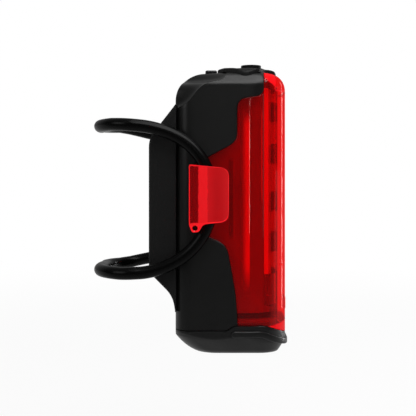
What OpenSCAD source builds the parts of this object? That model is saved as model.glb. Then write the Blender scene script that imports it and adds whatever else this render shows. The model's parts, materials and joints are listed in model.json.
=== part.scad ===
// Bike rear light: a red housing in a black shell, with a rubber saddle pad for the
// seatpost, a rubber ring strap on two side hooks and a pull-off end cap.
// The origin is on the seatpost's axis at the middle of the pad's saddle.
// +X points to the rear of the bike, +Z up, millimetres.

/* [Seatpost pad] */
// Radius of the seatpost that the saddle bears on
post_r = 13.6; // [12.7:0.1:13.6]
// Height of the saddle that bears on the seatpost
saddle_h = 28; // [20:1:28]
// Thinnest rubber between the seatpost and the casing
pad_web = 1.1; // [0.8:0.1:3]
// How far the pad's horns stand forward of the casing
pad_reach = 7; // [6.6:0.1:7.4]
// Thickness of the rubber at the tips of the horns
horn_t = 1.2; // [0.8:0.1:2]
// Height of the flare beyond each end of the saddle
pad_flare = 3; // [2:0.5:4]
// Height of the ramp above the saddle
pad_ramp_up = 9; // [6:0.5:10]
// Height of the ramp below the saddle
pad_ramp_down = 10.3; // [8:0.5:12]
// Radius of the two pegs that key the pad to the shell
peg_r = 1.6; // [1.2:0.1:2.4]
// Distance between the two pegs
peg_pitch = 18; // [12:1:22]

/* [Casing] */
// Wall of the black shell
shell_t = 1; // [0.8:0.1:1.4]
// Wall of the red housing behind the shell
liner_t = 0.9; // [0.7:0.1:1.6]
// Radius of the top front corner, seen from the side
top_front_r = 7.5; // [5:0.5:8]
// Radius of the top rear corner, seen from the side
top_rear_r = 5; // [3.5:0.5:6]
// Radius of the edges beside the top
top_edge_r = 3; // [2.5:0.1:3.6]
// Reach of the facets on the top front corners below the top
facet_h = 9.2; // [8.6:0.1:10]
// Reach of the facets on the top front corners behind the front
facet_l = 11.9; // [10:0.1:12.4]
// Direction of the facets, seen from above
facet_turn = 54; // [48:1:58]
// Radius of the front corners, seen from above
plan_front_r = 4; // [3:0.5:5]
// Radius of the rear corners, seen from above
plan_rear_r = 9.5; // [8:0.5:10.5]
// Play between pieces that are fitted together
fit_gap = 0.1; // [0.05:0.01:0.14]

/* [Red window] */
// Depth of the window at its narrow top
window_top_d = 6; // [5:0.2:6.6]
// Depth of the window along its straight edge
window_d = 13; // [12.6:0.2:13.6]
// Rounding of the window's corners
window_r = 2.6; // [1.5:0.1:3]
// Width of the raised pad low on the lens face
lens_pad_w = 6; // [3:0.5:8]
// Height of the raised pad low on the lens face
lens_pad_h = 3.2; // [2:0.2:5]
// How far that pad stands proud
lens_pad_t = 0.25; // [0.15:0.05:0.4]

/* [Hooks and strap] */
// Thickness of the rubber cord
strap_d = 3; // [2.5:0.1:3.4]
// Radius of the two bows, along the middle of the cord
bow_r = 18.45; // [18:0.05:19]
// Radius of the four turns round the seatpost
turn_r = 11.5; // [9:0.5:13]
// Height of the strap's middle above the saddle's middle
hook_mid = 2.1; // [1.5:0.1:2.6]
// Length of each hook plate
hook_l = 10; // [8:0.2:11]
// Thickness of each hook plate
hook_t = 1.6; // [1.2:0.1:2.4]
// Reach of the plate above the strap's middle
hook_up = 8.5; // [7:0.1:9.5]
// Reach of the plate below the strap's middle
hook_down = 6.4; // [5.5:0.1:7]
// Distance from the casing's front to the back of the cord in the hook
hook_seat = 7.9; // [7.4:0.1:8.6]
// Radius of the hole in the small lug below each hook
lug_hole_r = 0.65; // [0.4:0.05:0.9]
// Play around the cord in the hook
strap_gap = 0.25; // [0.15:0.05:0.4]

/* [End cap] */
// Height of the cap below the chassis
cap_h = 8.2; // [7.6:0.2:10]
// How far the cap's wall stands proud of the casing
cap_proud = 0.25; // [0.1:0.05:0.4]
// Width of the bevel along the cap's sides
bevel_w = 4.2; // [3:0.1:5]
// Height of the bevel along the cap's sides
bevel_h = 4.4; // [3.6:0.1:5]
// How far the pull rib stands proud of the casing
rib_proud = 0.7; // [0.5:0.05:1.2]
// Height of the pull rib
rib_h = 1.6; // [1.2:0.1:2]

/* [Button] */
// Radius of the power button
button_r = 2.7; // [2.4:0.1:3.2]
// Height of the button above the top
button_h = 2.8; // [2.4:0.1:4]
// Travel of the button
button_travel = 0.6; // [0.3:0.05:0.8]
// Thickness of the soft surround
surround_t = 1.1; // [0.9:0.1:1.6]
// Length of the surround's oval
surround_l = 12.6; // [10:0.2:13]
// Length of the indicator window
indicator_l = 3.1; // [2:0.1:4]
// Width of the indicator window
indicator_w = 11; // [6:0.5:14]
// How far the indicator window stands proud
indicator_h = 1; // [0.4:0.1:1.4]

/* [Cell and boards] */
// Radius of the cell
cell_r = 9; // [8:0.25:10]
// Length of the cell
cell_l = 49.5; // [47:0.5:54]
// Depth of the cell's lower end below the saddle's middle
cell_drop = 21.9; // [20:0.1:23]
// Wall of the chassis
chassis_t = 1; // [0.8:0.1:1.4]
// Thickness of the main board
board_t = 1; // [0.8:0.1:1.6]
// Height of the tallest part on the main board
chip_h = 1.5; // [1:0.1:2.2]
// Thickness of the light board
led_board_t = 1.2; // [0.8:0.1:1.6]
// Height of the light board
led_board_h = 48; // [44:0.5:49]
// Side of each light emitter
led_side = 5; // [3:0.1:5.6]
// Height of each light emitter
led_h = 1.9; // [1.2:0.1:2.4]
// Distance between the two emitters of a pair
led_pitch = 10.9; // [9:0.1:11.5]
// Distance between the two pairs
led_pair_gap = 12.8; // [9:0.1:13.5]
// Height of the switch under the button
switch_h = 3.2; // [2.6:0.1:4]
// Length of the charging socket
usb_l = 6.5; // [5.6:0.1:7.3]
// Width of the charging socket
usb_w = 8.94; // [7:0.02:9.2]
// Thickness of the charging socket
usb_t = 3.26; // [2.4:0.02:3.4]
// Radius of the two chassis screws
screw_r = 1; // [0.8:0.1:1.1]
// Radius of the screws' heads
screw_head_r = 1.7; // [1.5:0.1:1.8]
// Height of the screws' heads
screw_head_h = 0.8; // [0.6:0.1:0.9]

/* [Hidden] */
$fn = 64;
// Overlap of cutting shapes, and of pieces of one moulding
over = 5;
bond = 0.3;
// Air between two skins that lie on each other
skin_gap = 0.02;

// The wall that closes the casing, from the outside to the hollow
liner_inset = shell_t + fit_gap;
wall_t = liner_inset + liner_t;
chassis_inset = wall_t + 2 * fit_gap;

// The stack from front to rear: pad, wall, cell, boards, emitters and lens
cell_gap = 0.3;
tab_gap = 0.5;
board_gap = 0.3;
front = post_r + pad_web;
cell_x = front + wall_t + cell_gap + cell_r;
board_x = cell_x + cell_r + tab_gap;
led_board_x = board_x + board_t + chip_h + board_gap;
led_x = led_board_x + led_board_t;
rear = led_x + led_h + fit_gap + wall_t;

// The stack from side to side
side_room = 1.3;
half_w = cell_r + side_room + chassis_t + chassis_inset;
wide = 2 * (half_w + over);
// Half the width left inside a wall drawn in by an inset, at a place in the rounded rear
function half_room(x, inset) = let (turn_x = x - rear + plan_rear_r)
    half_w - plan_rear_r + sqrt(pow(plan_rear_r - inset, 2) - pow(max(turn_x, 0), 2));

// The stack from bottom to top
stand_h = 4.1;
flange_t = 4.2;
tab_t = 0.2;
switch_room = 1.5;
cell_low = -cell_drop;
cell_top = cell_low + cell_l;
flange_top = cell_low - stand_h;
flange_low = flange_top - flange_t;
cap_low = flange_low - cap_h;
switch_z = cell_top + tab_t;
ceiling = switch_z + switch_h + switch_room;
top = ceiling + wall_t;

// The seam between casing and cap, seen from the side
seam_gap = 0.2;
seam_front = flange_low - 1.6;
seam_hump = flange_low - 0.3;
seam_rear = flange_low - 3;
hump_back = 6.8;
hump_l = 6.85;
hump_rise = 2.3;
hump_fall = 6.5;
hump_end_x = rear - hump_back;
hump_x = hump_end_x - hump_l;

// The cap's side view: a long curved nose and a short curved heel, and the line of its rib
nose_h = 5.1;
nose_l = 6.7;
nose_bend = [3.2, 1.7];
heel_h = 3;
heel_l = 2.5;
heel_bend = [2.3, 0.5];
cap_half = half_w + cap_proud;
rib_drop = 1.4;
rib_depth = 3;
spigot_gap = 0.5;

// The crease of each facet on the flank: distances behind the front and below the top
crease_low = [[0.8, facet_h], [4.6, facet_h - 0.6], [4.9, 5]];
crease_high = [[4.9, 5], [5.6, 2.9], [facet_l, 2.4]];
crease_end = 0.7;

// Hooks, strap and the forward wing of the window
hook_slot = strap_d + 2 * strap_gap;
hook_x = front + 3.5;
plate_y = half_w + hook_slot;
bow_y = half_w + hook_slot / 2;
root_face_x = front + hook_seat;
bow_x = root_face_x + strap_gap + strap_d / 2 - bow_r;
root_up = 5.9;
root_down = hook_down - bond;
lug_r = lug_hole_r + 0.7;
lug_x = hook_x + lug_r + bond;
lug_z = hook_mid - hook_down - 1;

// The window's edge: its narrow top, its straight run and its wing
lens_pad_rise = 2.4;
wing_gap = 0.4;
window_step = 7.7;
wing_up = 6.6;
wing_down = 8;
wing_rise = 12.9;
wing_fall = 13;
edge_lean = 2.1;

// Button, switch and indicator
switch_d = 3.2;
switch_w = 6;
switch_x = board_x - switch_d / 2;
plunger_r = 1.2;
plunger_low = switch_z + 2 * button_travel + fit_gap;
stem_r = 2;
stem_gap = 0.15;
stem_low = ceiling - 0.45;
button_x = switch_x + 0.8;
button_sunk = 0.2;
surround_x = button_x - 1.5;
surround_w = 24.8;
surround_tail_l = 6.2;
surround_tail_w = 10;
indicator_x = surround_x - surround_l / 2 - 1.4 - indicator_l;

// Screws stand in the two front corners of the hollow
boss_r = screw_head_r + 0.5;
boss_h = 12;
screw_l = 9;
boss_x = front + wall_t + boss_r - bond;
boss_y = half_w - wall_t - boss_r + bond;

// Light board and emitters
board_top = ceiling - 3.5;
board_w = 2 * (half_room(board_x + board_t, chassis_inset + chassis_t) - fit_gap);
led_board_top = ceiling - 2.4;
led_board_w = 2 * (half_room(led_x, wall_t) - 4 * fit_gap);
led_mid = led_board_top - led_board_h / 2 + 1.2;
led_heights = [for (s = [-1, 1], step = [0, 1]) led_mid + s * (led_pair_gap / 2 + step * led_pitch)];
cup_depth = 0.6;
cup_rim = 0.4;

// Charging socket and its bay in the chassis
usb_x = board_x - usb_t / 2;
usb_top = cell_low - 0.6;
usb_low = usb_top - usb_l;
usb_wall = 0.3;
usb_round = 0.45;
bay_gap = 0.25;
plug_gap = 0.2;
tongue_t = 0.7;
tongue_w = usb_w - 2.3;

// The chassis: walls beside the cell, ribs that cradle it and a block under it
cradle_back = 4;
wall_x = cell_x - cradle_back;
wall_top = ceiling - 2.5;
rib_levels = [6, 24.75, 43.5];
cradle_l = 2 * cradle_back;
cradle_t = 1.5;
block_l = 7;
block_w = 12;

// Cell and main board: crimp groove, tabs, header pins, and each component's place across
// and above the header, its width, height and thickness
groove_drop = 2.4;
groove_r = 0.4;
tab_w = 5;
pin_pitch = 1.27;
pin_side = 0.6;
chip_spots = [[4, 7, 6, 6, 0.9], [-4.5, -5.5, 5, 5, chip_h], [4.5, -16, 4, 3, 0.9], [-4, -21, 3, 5, chip_h],
    [-6, 1, 1.6, 3.2, 0.8], [5.5, -11, 1.6, 3.2, 0.8]];

// Seal ring and its groove
seal_h = 1.4;
seal_depth = 0.8;
seal_low = flange_low + 1.2;

function bezier(a, b, c, n = 8) =
    [for (i = [0:n]) let (t = i / n) (1 - t) * (1 - t) * a + 2 * t * (1 - t) * b + t * t * c];
function unit(v) = v / norm(v);
// Moves an open line sideways, to the right of its run
function shifted(line, d) = let (last = len(line) - 1) [
    for (i = [0:last])
        let (t = unit(line[min(i + 1, last)] - line[max(i - 1, 0)]))
        line[i] + d * [t[1], -t[0]]
];
// A place on the flank, seen along the facet
function along_facet(spot) = [
    (front + spot[0]) * cos(facet_turn) - half_w * sin(facet_turn), top - spot[1]
];
// Rounds each corner of an outline with a smooth curve that leaves it r before the corner
function rounded(points, r) = [
    for (i = [0:len(points) - 1])
        let (
            p = points[i],
            q = points[(i + len(points) - 1) % len(points)],
            s = points[(i + 1) % len(points)]
        )
        each bezier(p + unit(q - p) * r, p, p + unit(s - p) * r, 5)
];

// A rectangle with its own radius at each corner: low left, low right, high right, high left
module rounded_rect(x0, x1, y0, y1, r) {
    polygon([
        [x0 + r[0], y0], [x1 - r[1], y0], [x1, y0 + r[1]], [x1, y1 - r[2]],
        [x1 - r[2], y1], [x0 + r[3], y1], [x0, y1 - r[3]], [x0, y0 + r[0]]
    ]);
    translate([x0 + r[0], y0 + r[0]]) circle(r[0]);
    translate([x1 - r[1], y0 + r[1]]) circle(r[1]);
    translate([x1 - r[2], y1 - r[2]]) circle(r[2]);
    translate([x0 + r[3], y1 - r[3]]) circle(r[3]);
}

// Outlines drawn in side view run across the light, those in front view along it
module across(w = wide) rotate([90, 0, 0]) linear_extrude(w, center = true) children();
module lengthwise() translate([front - over, 0, 0]) rotate([90, 0, 90])
    linear_extrude(rear - front + 2 * over) children();
module upward(z0, z1) translate([0, 0, z0]) linear_extrude(z1 - z0) children();
module both_sides(y0, y1) for (side = [-1, 1])
    translate([0, side * (y0 + y1) / 2, 0]) across(y1 - y0) children();
module at_bosses() for (side = [-1, 1]) translate([boss_x, side * boss_y, 0]) children();
module at_button(z) translate([button_x, 0, z]) children();

function eased(r, inset) = max(r - inset, bond);

module plan(inset = 0) {
    front_r = eased(plan_front_r, inset);
    rear_r = eased(plan_rear_r, inset);
    rounded_rect(front + inset, rear - inset, inset - half_w, half_w - inset,
        [front_r, rear_r, rear_r, front_r]);
}

// What the facets take off the two top front corners
module facets(inset) {
    low = bezier(crease_low[0], crease_low[1], crease_low[2], 6);
    high = bezier(crease_high[0], crease_high[1], crease_high[2], 6);
    crease = [for (spot = concat(low, [for (i = [1:6]) high[i]], [[facet_l + crease_end, -over]]))
        along_facet(spot)];
    for (side = [0, 1]) mirror([0, side, 0]) rotate([0, 0, -facet_turn]) across(4 * wide)
        polygon(concat(shifted(crease, inset), [[-wide, top + over], [-wide, top - facet_h - inset]]));
}

// The casing's outer form, drawn in by an inset
module casing_form(inset = 0) {
    edge_r = eased(top_edge_r, inset);
    difference() {
        intersection() {
            across() rounded_rect(front + inset, rear - inset, cap_low, top - inset,
                [bond, bond, eased(top_rear_r, inset), eased(top_front_r, inset)]);
            upward(cap_low, top + over) plan(inset);
            lengthwise() rounded_rect(inset - half_w, half_w - inset, cap_low, top - inset,
                [bond, bond, edge_r, edge_r]);
        }
        facets(inset);
    }
}

// What lies above the seam
module above_seam(lift) across() polygon([
    [front - over, top + over], [front - over, seam_front + lift], [hump_x - hump_rise, seam_front + lift],
    [hump_x, seam_hump + lift], [hump_end_x, seam_hump + lift], [hump_end_x + hump_fall, seam_rear + lift],
    [rear + over, seam_rear + lift], [rear + over, top + over]
]);

// The window's outline in side view, with the wing that reaches forward under the hooks
module window_form(grow = 0) {
    top_x = rear - window_top_d - grow;
    edge_x = rear - window_d - grow;
    wing_x = hook_x - wing_gap - grow;
    across() polygon(concat(
        rounded([
            [top_x, top + 2 * over], [top_x, top - window_step + grow],
            [edge_x, top - window_step + grow], [edge_x, hook_mid + wing_rise + grow],
            [wing_x, hook_mid + wing_up + grow], [wing_x, hook_mid - wing_down - grow],
            [edge_x - edge_lean, hook_mid - wing_fall - grow], [edge_x, seam_hump - over]
        ], window_r),
        [[rear + over, seam_hump - 2 * over], [rear + over, top + 2 * over]]
    ));
}

// Red pieces

module hook_outline() {
    low = hook_mid - hook_down;
    high = hook_mid + hook_up;
    rounded_rect(hook_x, hook_x + hook_l, low, high, [0.4, 2.6, 3.6, 0.8]);
    translate([lug_x, lug_z]) circle(lug_r);
    polygon([[hook_x, low + 1], [hook_x, low], [lug_x - lug_r, lug_z],
        [lug_x + lug_r, lug_z], [lug_x + lug_r + 2 * bond, low + 1]]);
}

// The wall that joins each plate to the flank, round where the cord bears on it
module hook_root() intersection() {
    translate([hook_x, hook_mid - root_down]) square([hook_l, root_up + root_down]);
    translate([bow_x, hook_mid]) circle(bow_r - strap_d / 2 - strap_gap);
}

module lens_housing() color("red") union() {
    difference() {
        intersection() {
            union() {
                casing_form(liner_inset);
                intersection() {
                    casing_form();
                    window_form();
                }
            }
            above_seam(seam_gap / 2);
        }
        casing_form(wall_t);
        at_button(ceiling - over) cylinder(h = 2 * over + wall_t, r = stem_r + stem_gap);
    }
    both_sides(half_w - bond, plate_y + hook_t) hook_root();
    both_sides(plate_y, plate_y + hook_t) difference() {
        hook_outline();
        translate([lug_x, lug_z]) circle(lug_hole_r);
    }
    intersection() {
        at_bosses() translate([0, 0, flange_top]) difference() {
            cylinder(h = boss_h, r = boss_r);
            translate([0, 0, -bond]) cylinder(h = screw_l + 2 * bond, r = screw_r + fit_gap / 2);
        }
        casing_form(wall_t - bond);
    }
    translate([rear - wall_t / 2, -lens_pad_w / 2, flange_low + lens_pad_rise])
        cube([wall_t / 2 + lens_pad_t, lens_pad_w, lens_pad_h]);
}

// Black pieces

module body_shell() color("#1c1c1b") difference() {
    intersection() {
        casing_form();
        above_seam(seam_gap / 2);
    }
    casing_form(shell_t);
    window_form(fit_gap);
    at_button(ceiling) cylinder(h = 2 * over, r = stem_r + stem_gap);
    indicator_block(fit_gap, top + over);
    for (side = [-1, 1]) translate([front - over, 0, side * peg_pitch / 2]) rotate([0, 90, 0])
        cylinder(h = 2 * over, r = peg_r + fit_gap / 2);
}

module indicator_block(grow, z1) translate([indicator_x - grow, -indicator_w / 2 - grow, top - shell_t])
    cube([indicator_l + 2 * grow, indicator_w + 2 * grow, z1 - top + shell_t]);

module indicator_window() color("#2a2a2a") indicator_block(0, top + indicator_h);

module seatpost_pad() color("#161616") {
    horn_x = front - pad_reach;
    horn_y = sqrt(post_r * post_r - horn_x * horn_x);
    saddle_z = saddle_h / 2;
    pad_z = saddle_z + pad_flare;
    pad_w = 2 * (horn_y + horn_t);
    high = pad_z + pad_ramp_up;
    low = -pad_z - pad_ramp_down;
    chin_h = 4.6;
    flare_h = pad_flare + max(pad_ramp_up, pad_ramp_down);
    wrap = 2.5;
    difference() {
        across(pad_w) polygon(concat(
            [[front + wrap, high], [front, high], [horn_x, pad_z], [horn_x, -pad_z]],
            bezier([front - pad_reach / 3, -pad_z - chin_h], [front - bond, -pad_z - chin_h - 2],
                [front, low], 5),
            [[front + wrap, low]]
        ));
        casing_form(-skin_gap);
        translate([0, 0, -saddle_z]) cylinder(h = saddle_h, r = post_r);
        for (end = [0, 1]) mirror([0, 0, end]) translate([0, 0, saddle_z])
            cylinder(h = flare_h, r1 = post_r, r2 = post_r + flare_h / 2);
    }
    for (side = [-1, 1]) translate([front - pad_web / 2, 0, side * peg_pitch / 2]) rotate([0, 90, 0])
        cylinder(h = pad_web / 2 + shell_t, r = peg_r);
}

// The strap: two upright bows in the hooks, joined by two level turns round the seatpost
module strap_ring() color("#111111") {
    for (side = [-1, 1]) translate([bow_x, side * bow_y, hook_mid]) rotate([90, 0, 0])
        rotate_extrude(angle = 180, start = -90) translate([bow_r, 0]) circle(strap_d / 2);
    for (end = [-1, 1]) translate([bow_x, 0, hook_mid + end * bow_r]) {
        for (side = [-1, 1]) translate([0, side * (bow_y - turn_r), 0])
            rotate_extrude(angle = 90, start = side > 0 ? 90 : 180)
                translate([turn_r, 0]) circle(strap_d / 2);
        translate([-turn_r, 0, 0]) rotate([90, 0, 0])
            cylinder(h = 2 * (bow_y - turn_r), r = strap_d / 2, center = true);
    }
}

// The rib follows the seam round the rear, and starts with a round end on each flank
module cap_rib() {
    start_x = hump_x - rib_h / 2;
    heel_x = hump_end_x + hump_fall;
    lip_x = rear + rib_proud;
    hump_z = seam_hump - rib_drop;
    lip_z = seam_rear - rib_drop;
    translate([start_x, hump_z - rib_h / 2]) circle(rib_h / 2);
    polygon([
        [start_x, hump_z], [hump_end_x, hump_z], [heel_x, lip_z], [lip_x, lip_z],
        [lip_x, lip_z - rib_h], [heel_x, lip_z - rib_h],
        [hump_end_x, hump_z - rib_h], [start_x, hump_z - rib_h]
    ]);
}

module end_cap() color("#1a1a1a") difference() {
    union() {
        difference() {
            intersection() {
                across() polygon(concat(
                    bezier([front - cap_proud, cap_low + nose_h],
                        [front + nose_bend[0], cap_low + nose_bend[1]], [front + nose_l, cap_low]),
                    bezier([rear - heel_l, cap_low], [rear - heel_bend[0], cap_low + heel_bend[1]],
                        [rear + cap_proud, cap_low + heel_h], 5),
                    [[rear + over, cap_low + heel_h], [rear + over, top], [front - over, top],
                        [front - over, cap_low + nose_h]]
                ));
                upward(cap_low, top) plan(-cap_proud);
                lengthwise() polygon([
                    [bevel_w - cap_half, cap_low], [cap_half - bevel_w, cap_low],
                    [cap_half, cap_low + bevel_h], [cap_half, top],
                    [-cap_half, top], [-cap_half, cap_low + bevel_h]
                ]);
            }
            above_seam(-seam_gap / 2);
        }
        upward(seam_rear - 1, flange_low - spigot_gap) plan(chassis_inset);
        intersection() {
            upward(cap_low, seam_hump) difference() {
                plan(-rib_proud);
                plan(rib_depth);
            }
            across() cap_rib();
        }
        usb_slab(usb_w - plug_gap, usb_t - plug_gap, seam_rear, usb_low - bond);
    }
    at_bosses() translate([0, 0, flange_low - screw_head_h - bond])
        cylinder(h = over, r = screw_head_r + fit_gap);
}

// Soft pieces on top

module button_surround() color("#242424") difference() {
    intersection() {
        difference() {
            casing_form(-surround_t);
            casing_form(-skin_gap);
        }
        upward(top - over, top + over) union() {
            translate([surround_x, 0]) scale([surround_l / surround_w, 1]) circle(surround_w / 2);
            translate([button_x, -surround_tail_w / 2]) square([surround_tail_l, surround_tail_w]);
        }
    }
    at_button(top - over) cylinder(h = 2 * over, r = button_r + stem_gap);
}

module power_button() color("#202020") {
    at_button(top + surround_t - button_sunk) cylinder(h = button_h - surround_t + button_sunk, r = button_r);
    at_button(stem_low) cylinder(h = top + surround_t - stem_low, r = stem_r);
}

// Inside: chassis, seal and screws

module chassis_span(l) translate([wall_x, -half_w, cap_low]) cube([l, 2 * half_w, top - cap_low]);

module chassis() color("whitesmoke") difference() {
    union() {
        upward(flange_low, flange_top) plan(wall_t + fit_gap * 1.5);
        intersection() {
            upward(flange_top - bond, wall_top) difference() {
                plan(chassis_inset);
                plan(chassis_inset + chassis_t);
            }
            chassis_span(led_board_x - fit_gap - wall_x);
        }
        for (level = rib_levels) intersection() {
            upward(cell_low + level - cradle_t / 2, cell_low + level + cradle_t / 2) difference() {
                plan(chassis_inset + bond);
                translate([cell_x, 0]) circle(cell_r + fit_gap);
            }
            chassis_span(cradle_l);
        }
        translate([wall_x - 2, -block_w / 2, flange_top - bond]) cube([block_l, block_w, stand_h + bond]);
    }
    upward(flange_low - over, flange_top + over) translate([usb_x, 0])
        square([usb_t + 2 * bay_gap, usb_w + 2 * bay_gap], center = true);
    upward(seal_low, seal_low + seal_h) difference() {
        plan(wall_t);
        plan(wall_t + fit_gap + seal_depth);
    }
    at_bosses() translate([0, 0, flange_low - over]) cylinder(h = 2 * over, r = screw_r + fit_gap);
}

module seal_ring() color("#303030") upward(seal_low + skin_gap, seal_low + seal_h - skin_gap) difference() {
    plan(wall_t + skin_gap);
    plan(wall_t + seal_depth);
}

module chassis_screws() color("silver") at_bosses() difference() {
    union() {
        translate([0, 0, flange_low - screw_head_h]) cylinder(h = screw_head_h, r = screw_head_r);
        translate([0, 0, flange_low - bond]) cylinder(h = flange_t + screw_l + bond, r = screw_r);
    }
    for (turn = [0, 90]) rotate([0, 0, turn]) translate([0, 0, flange_low - screw_head_h])
        cube([2 * screw_r, 0.4 * screw_r, screw_head_h], center = true);
}

// Inside: cell, boards and what is on them

module battery_cell() color("#2f6fb0") translate([cell_x, 0, cell_low]) difference() {
    cylinder(h = cell_l, r = cell_r);
    translate([0, 0, cell_l - groove_drop]) rotate_extrude() translate([cell_r, 0]) circle(groove_r);
}

module battery_tabs() color("lightgray") for (z = [cell_top, cell_low - tab_t])
    translate([cell_x + tab_w / 2, -tab_w / 2, z]) cube([board_x - cell_x - tab_w / 2, tab_w, tab_t]);

module main_board() color("#2f7d3a") translate([board_x, -board_w / 2, flange_top])
    cube([board_t, board_w, board_top - flange_top]);

module board_components() color("#333333") for (spot = chip_spots)
    translate([board_x + board_t, spot[0] - spot[2] / 2, led_mid + spot[1] - spot[3] / 2])
        cube([spot[4], spot[2], spot[3]]);

module board_header() color("gold") for (pin = [-1.5:1:1.5])
    translate([board_x + board_t, pin * pin_pitch - pin_side / 2, led_mid - pin_side / 2])
        cube([led_board_x - board_x - board_t, pin_side, pin_side]);

module led_board() color("white") translate([led_board_x, -led_board_w / 2, led_board_top - led_board_h])
    cube([led_board_t, led_board_w, led_board_h]);

// Each emitter is a package with a round cup, filled with clear resin
module at_emitters() for (z = led_heights) translate([led_x, 0, z]) rotate([0, 90, 0]) children();

module led_emitters() color("ivory") at_emitters() difference() {
    translate([-led_side / 2, -led_side / 2, 0]) cube([led_side, led_side, led_h]);
    translate([0, 0, led_h - cup_depth]) cylinder(h = 2 * cup_depth, r = led_side / 2 - cup_rim);
}

module led_resin() color("#ffd9c0") at_emitters() translate([0, 0, led_h - cup_depth])
    cylinder(h = cup_depth - skin_gap, r = led_side / 2 - cup_rim - skin_gap);

module usb_slab(w, t, z0, z1) translate([usb_x, 0, 0]) upward(z0, z1)
    rounded_rect(-t / 2, t / 2, -w / 2, w / 2, [1, 1, 1, 1] * usb_round * t);

module usb_socket() color("gainsboro") difference() {
    usb_slab(usb_w, usb_t, usb_low, usb_top);
    usb_slab(usb_w - 2 * usb_wall, usb_t - 2 * usb_wall, usb_low - over, usb_top - 2 * usb_wall);
}

module usb_tongue() color("#222222") translate([usb_x - tongue_t / 2, -tongue_w / 2, usb_low + 2 * usb_wall])
    cube([tongue_t, tongue_w, usb_l - 4 * usb_wall]);

module switch_body() color("#3a3a3a") difference() {
    translate([board_x - switch_d, -switch_w / 2, switch_z]) cube([switch_d, switch_w, switch_h]);
    translate([switch_x, 0, switch_z + button_travel]) cylinder(h = switch_h, r = plunger_r + fit_gap);
}

module switch_plunger() color("lightgray") translate([switch_x, 0, plunger_low])
    cylinder(h = stem_low - plunger_low, r = plunger_r);

lens_housing();
body_shell();
seatpost_pad();
strap_ring();
end_cap();
button_surround();
power_button();
indicator_window();
chassis();
seal_ring();
chassis_screws();
battery_cell();
battery_tabs();
main_board();
board_components();
board_header();
led_board();
led_emitters();
led_resin();
usb_socket();
usb_tongue();
switch_body();
switch_plunger();
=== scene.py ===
# %% [markdown]
# # A bike rear light
#
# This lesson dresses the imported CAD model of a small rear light: a clear red housing in a black
# soft-touch shell, a rubber pad that sits on the seatpost, a rubber ring that ties it there, an end
# cap that pulls off and a button on top. The frame gives the sizes. Lengths in the code are
# millimetres, and each mesh is turned into metres when it is made.

# %% Load the frame
import json
import math

import bmesh
import bpy
import numpy as np
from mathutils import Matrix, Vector

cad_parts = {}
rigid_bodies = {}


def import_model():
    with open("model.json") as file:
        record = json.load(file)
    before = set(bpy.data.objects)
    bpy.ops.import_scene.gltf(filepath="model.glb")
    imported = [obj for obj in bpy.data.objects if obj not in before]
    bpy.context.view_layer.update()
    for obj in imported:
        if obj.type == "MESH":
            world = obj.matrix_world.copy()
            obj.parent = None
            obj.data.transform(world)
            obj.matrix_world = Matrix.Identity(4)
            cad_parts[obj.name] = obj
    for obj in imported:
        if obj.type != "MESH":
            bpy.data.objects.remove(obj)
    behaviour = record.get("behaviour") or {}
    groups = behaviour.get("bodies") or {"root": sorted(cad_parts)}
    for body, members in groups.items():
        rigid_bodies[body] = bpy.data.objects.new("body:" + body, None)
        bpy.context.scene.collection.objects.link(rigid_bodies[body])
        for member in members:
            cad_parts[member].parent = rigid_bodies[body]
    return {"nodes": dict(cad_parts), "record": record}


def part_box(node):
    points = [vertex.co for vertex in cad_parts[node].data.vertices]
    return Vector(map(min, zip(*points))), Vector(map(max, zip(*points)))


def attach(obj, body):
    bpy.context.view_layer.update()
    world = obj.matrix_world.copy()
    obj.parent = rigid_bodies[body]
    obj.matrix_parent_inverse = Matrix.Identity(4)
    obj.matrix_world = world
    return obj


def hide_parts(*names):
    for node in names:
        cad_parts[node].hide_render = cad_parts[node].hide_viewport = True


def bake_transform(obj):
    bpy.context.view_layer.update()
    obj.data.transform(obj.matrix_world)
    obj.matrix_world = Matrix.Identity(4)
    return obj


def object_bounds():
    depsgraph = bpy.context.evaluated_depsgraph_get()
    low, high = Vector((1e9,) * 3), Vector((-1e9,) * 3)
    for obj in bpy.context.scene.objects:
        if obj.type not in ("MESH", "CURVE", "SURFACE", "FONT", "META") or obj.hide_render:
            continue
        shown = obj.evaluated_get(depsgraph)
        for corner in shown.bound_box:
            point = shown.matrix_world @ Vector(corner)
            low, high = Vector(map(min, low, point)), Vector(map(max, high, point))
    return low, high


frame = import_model()
cad_bounds = [list(corner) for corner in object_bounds()]
MM = 0.001


def node_span(name):
    """The lowest and the highest corner of a CAD node, in millimetres."""
    low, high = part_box(name)
    return np.array(low) / MM, np.array(high) / MM


def placed(name, data):
    """A new object for some data, linked to the scene."""
    thing = bpy.data.objects.new(name, data)
    bpy.context.scene.collection.objects.link(thing)
    return thing


shell_low, shell_high = node_span("body_shell")
lens_low, lens_high = node_span("lens_housing")
LENS_BUMP = 0.25
FRONT, HALF_W, TOP = shell_low[0], shell_high[1], shell_high[2]
REAR = lens_high[0] - LENS_BUMP
print(f"casing {REAR - FRONT:.1f} deep, {2 * HALF_W:.1f} wide, top at {TOP:.1f} mm")

# %% [markdown]
# ## Camera
#
# The picture is a level side view with the red lens to the right. The camera stands a little above
# the light's middle and looks along +Y. Its own lens is shifted down to bring the light back to the
# middle of the frame, instead of tilting the camera and bending the uprights.

# %% Camera
FRAME_PX = 416
PX_ACROSS = 0.27
CAMERA_AWAY = 240.0
CAMERA_X, CAMERA_Z = 23.1, 9.71
FRAME_DROP_PX = 40

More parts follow.
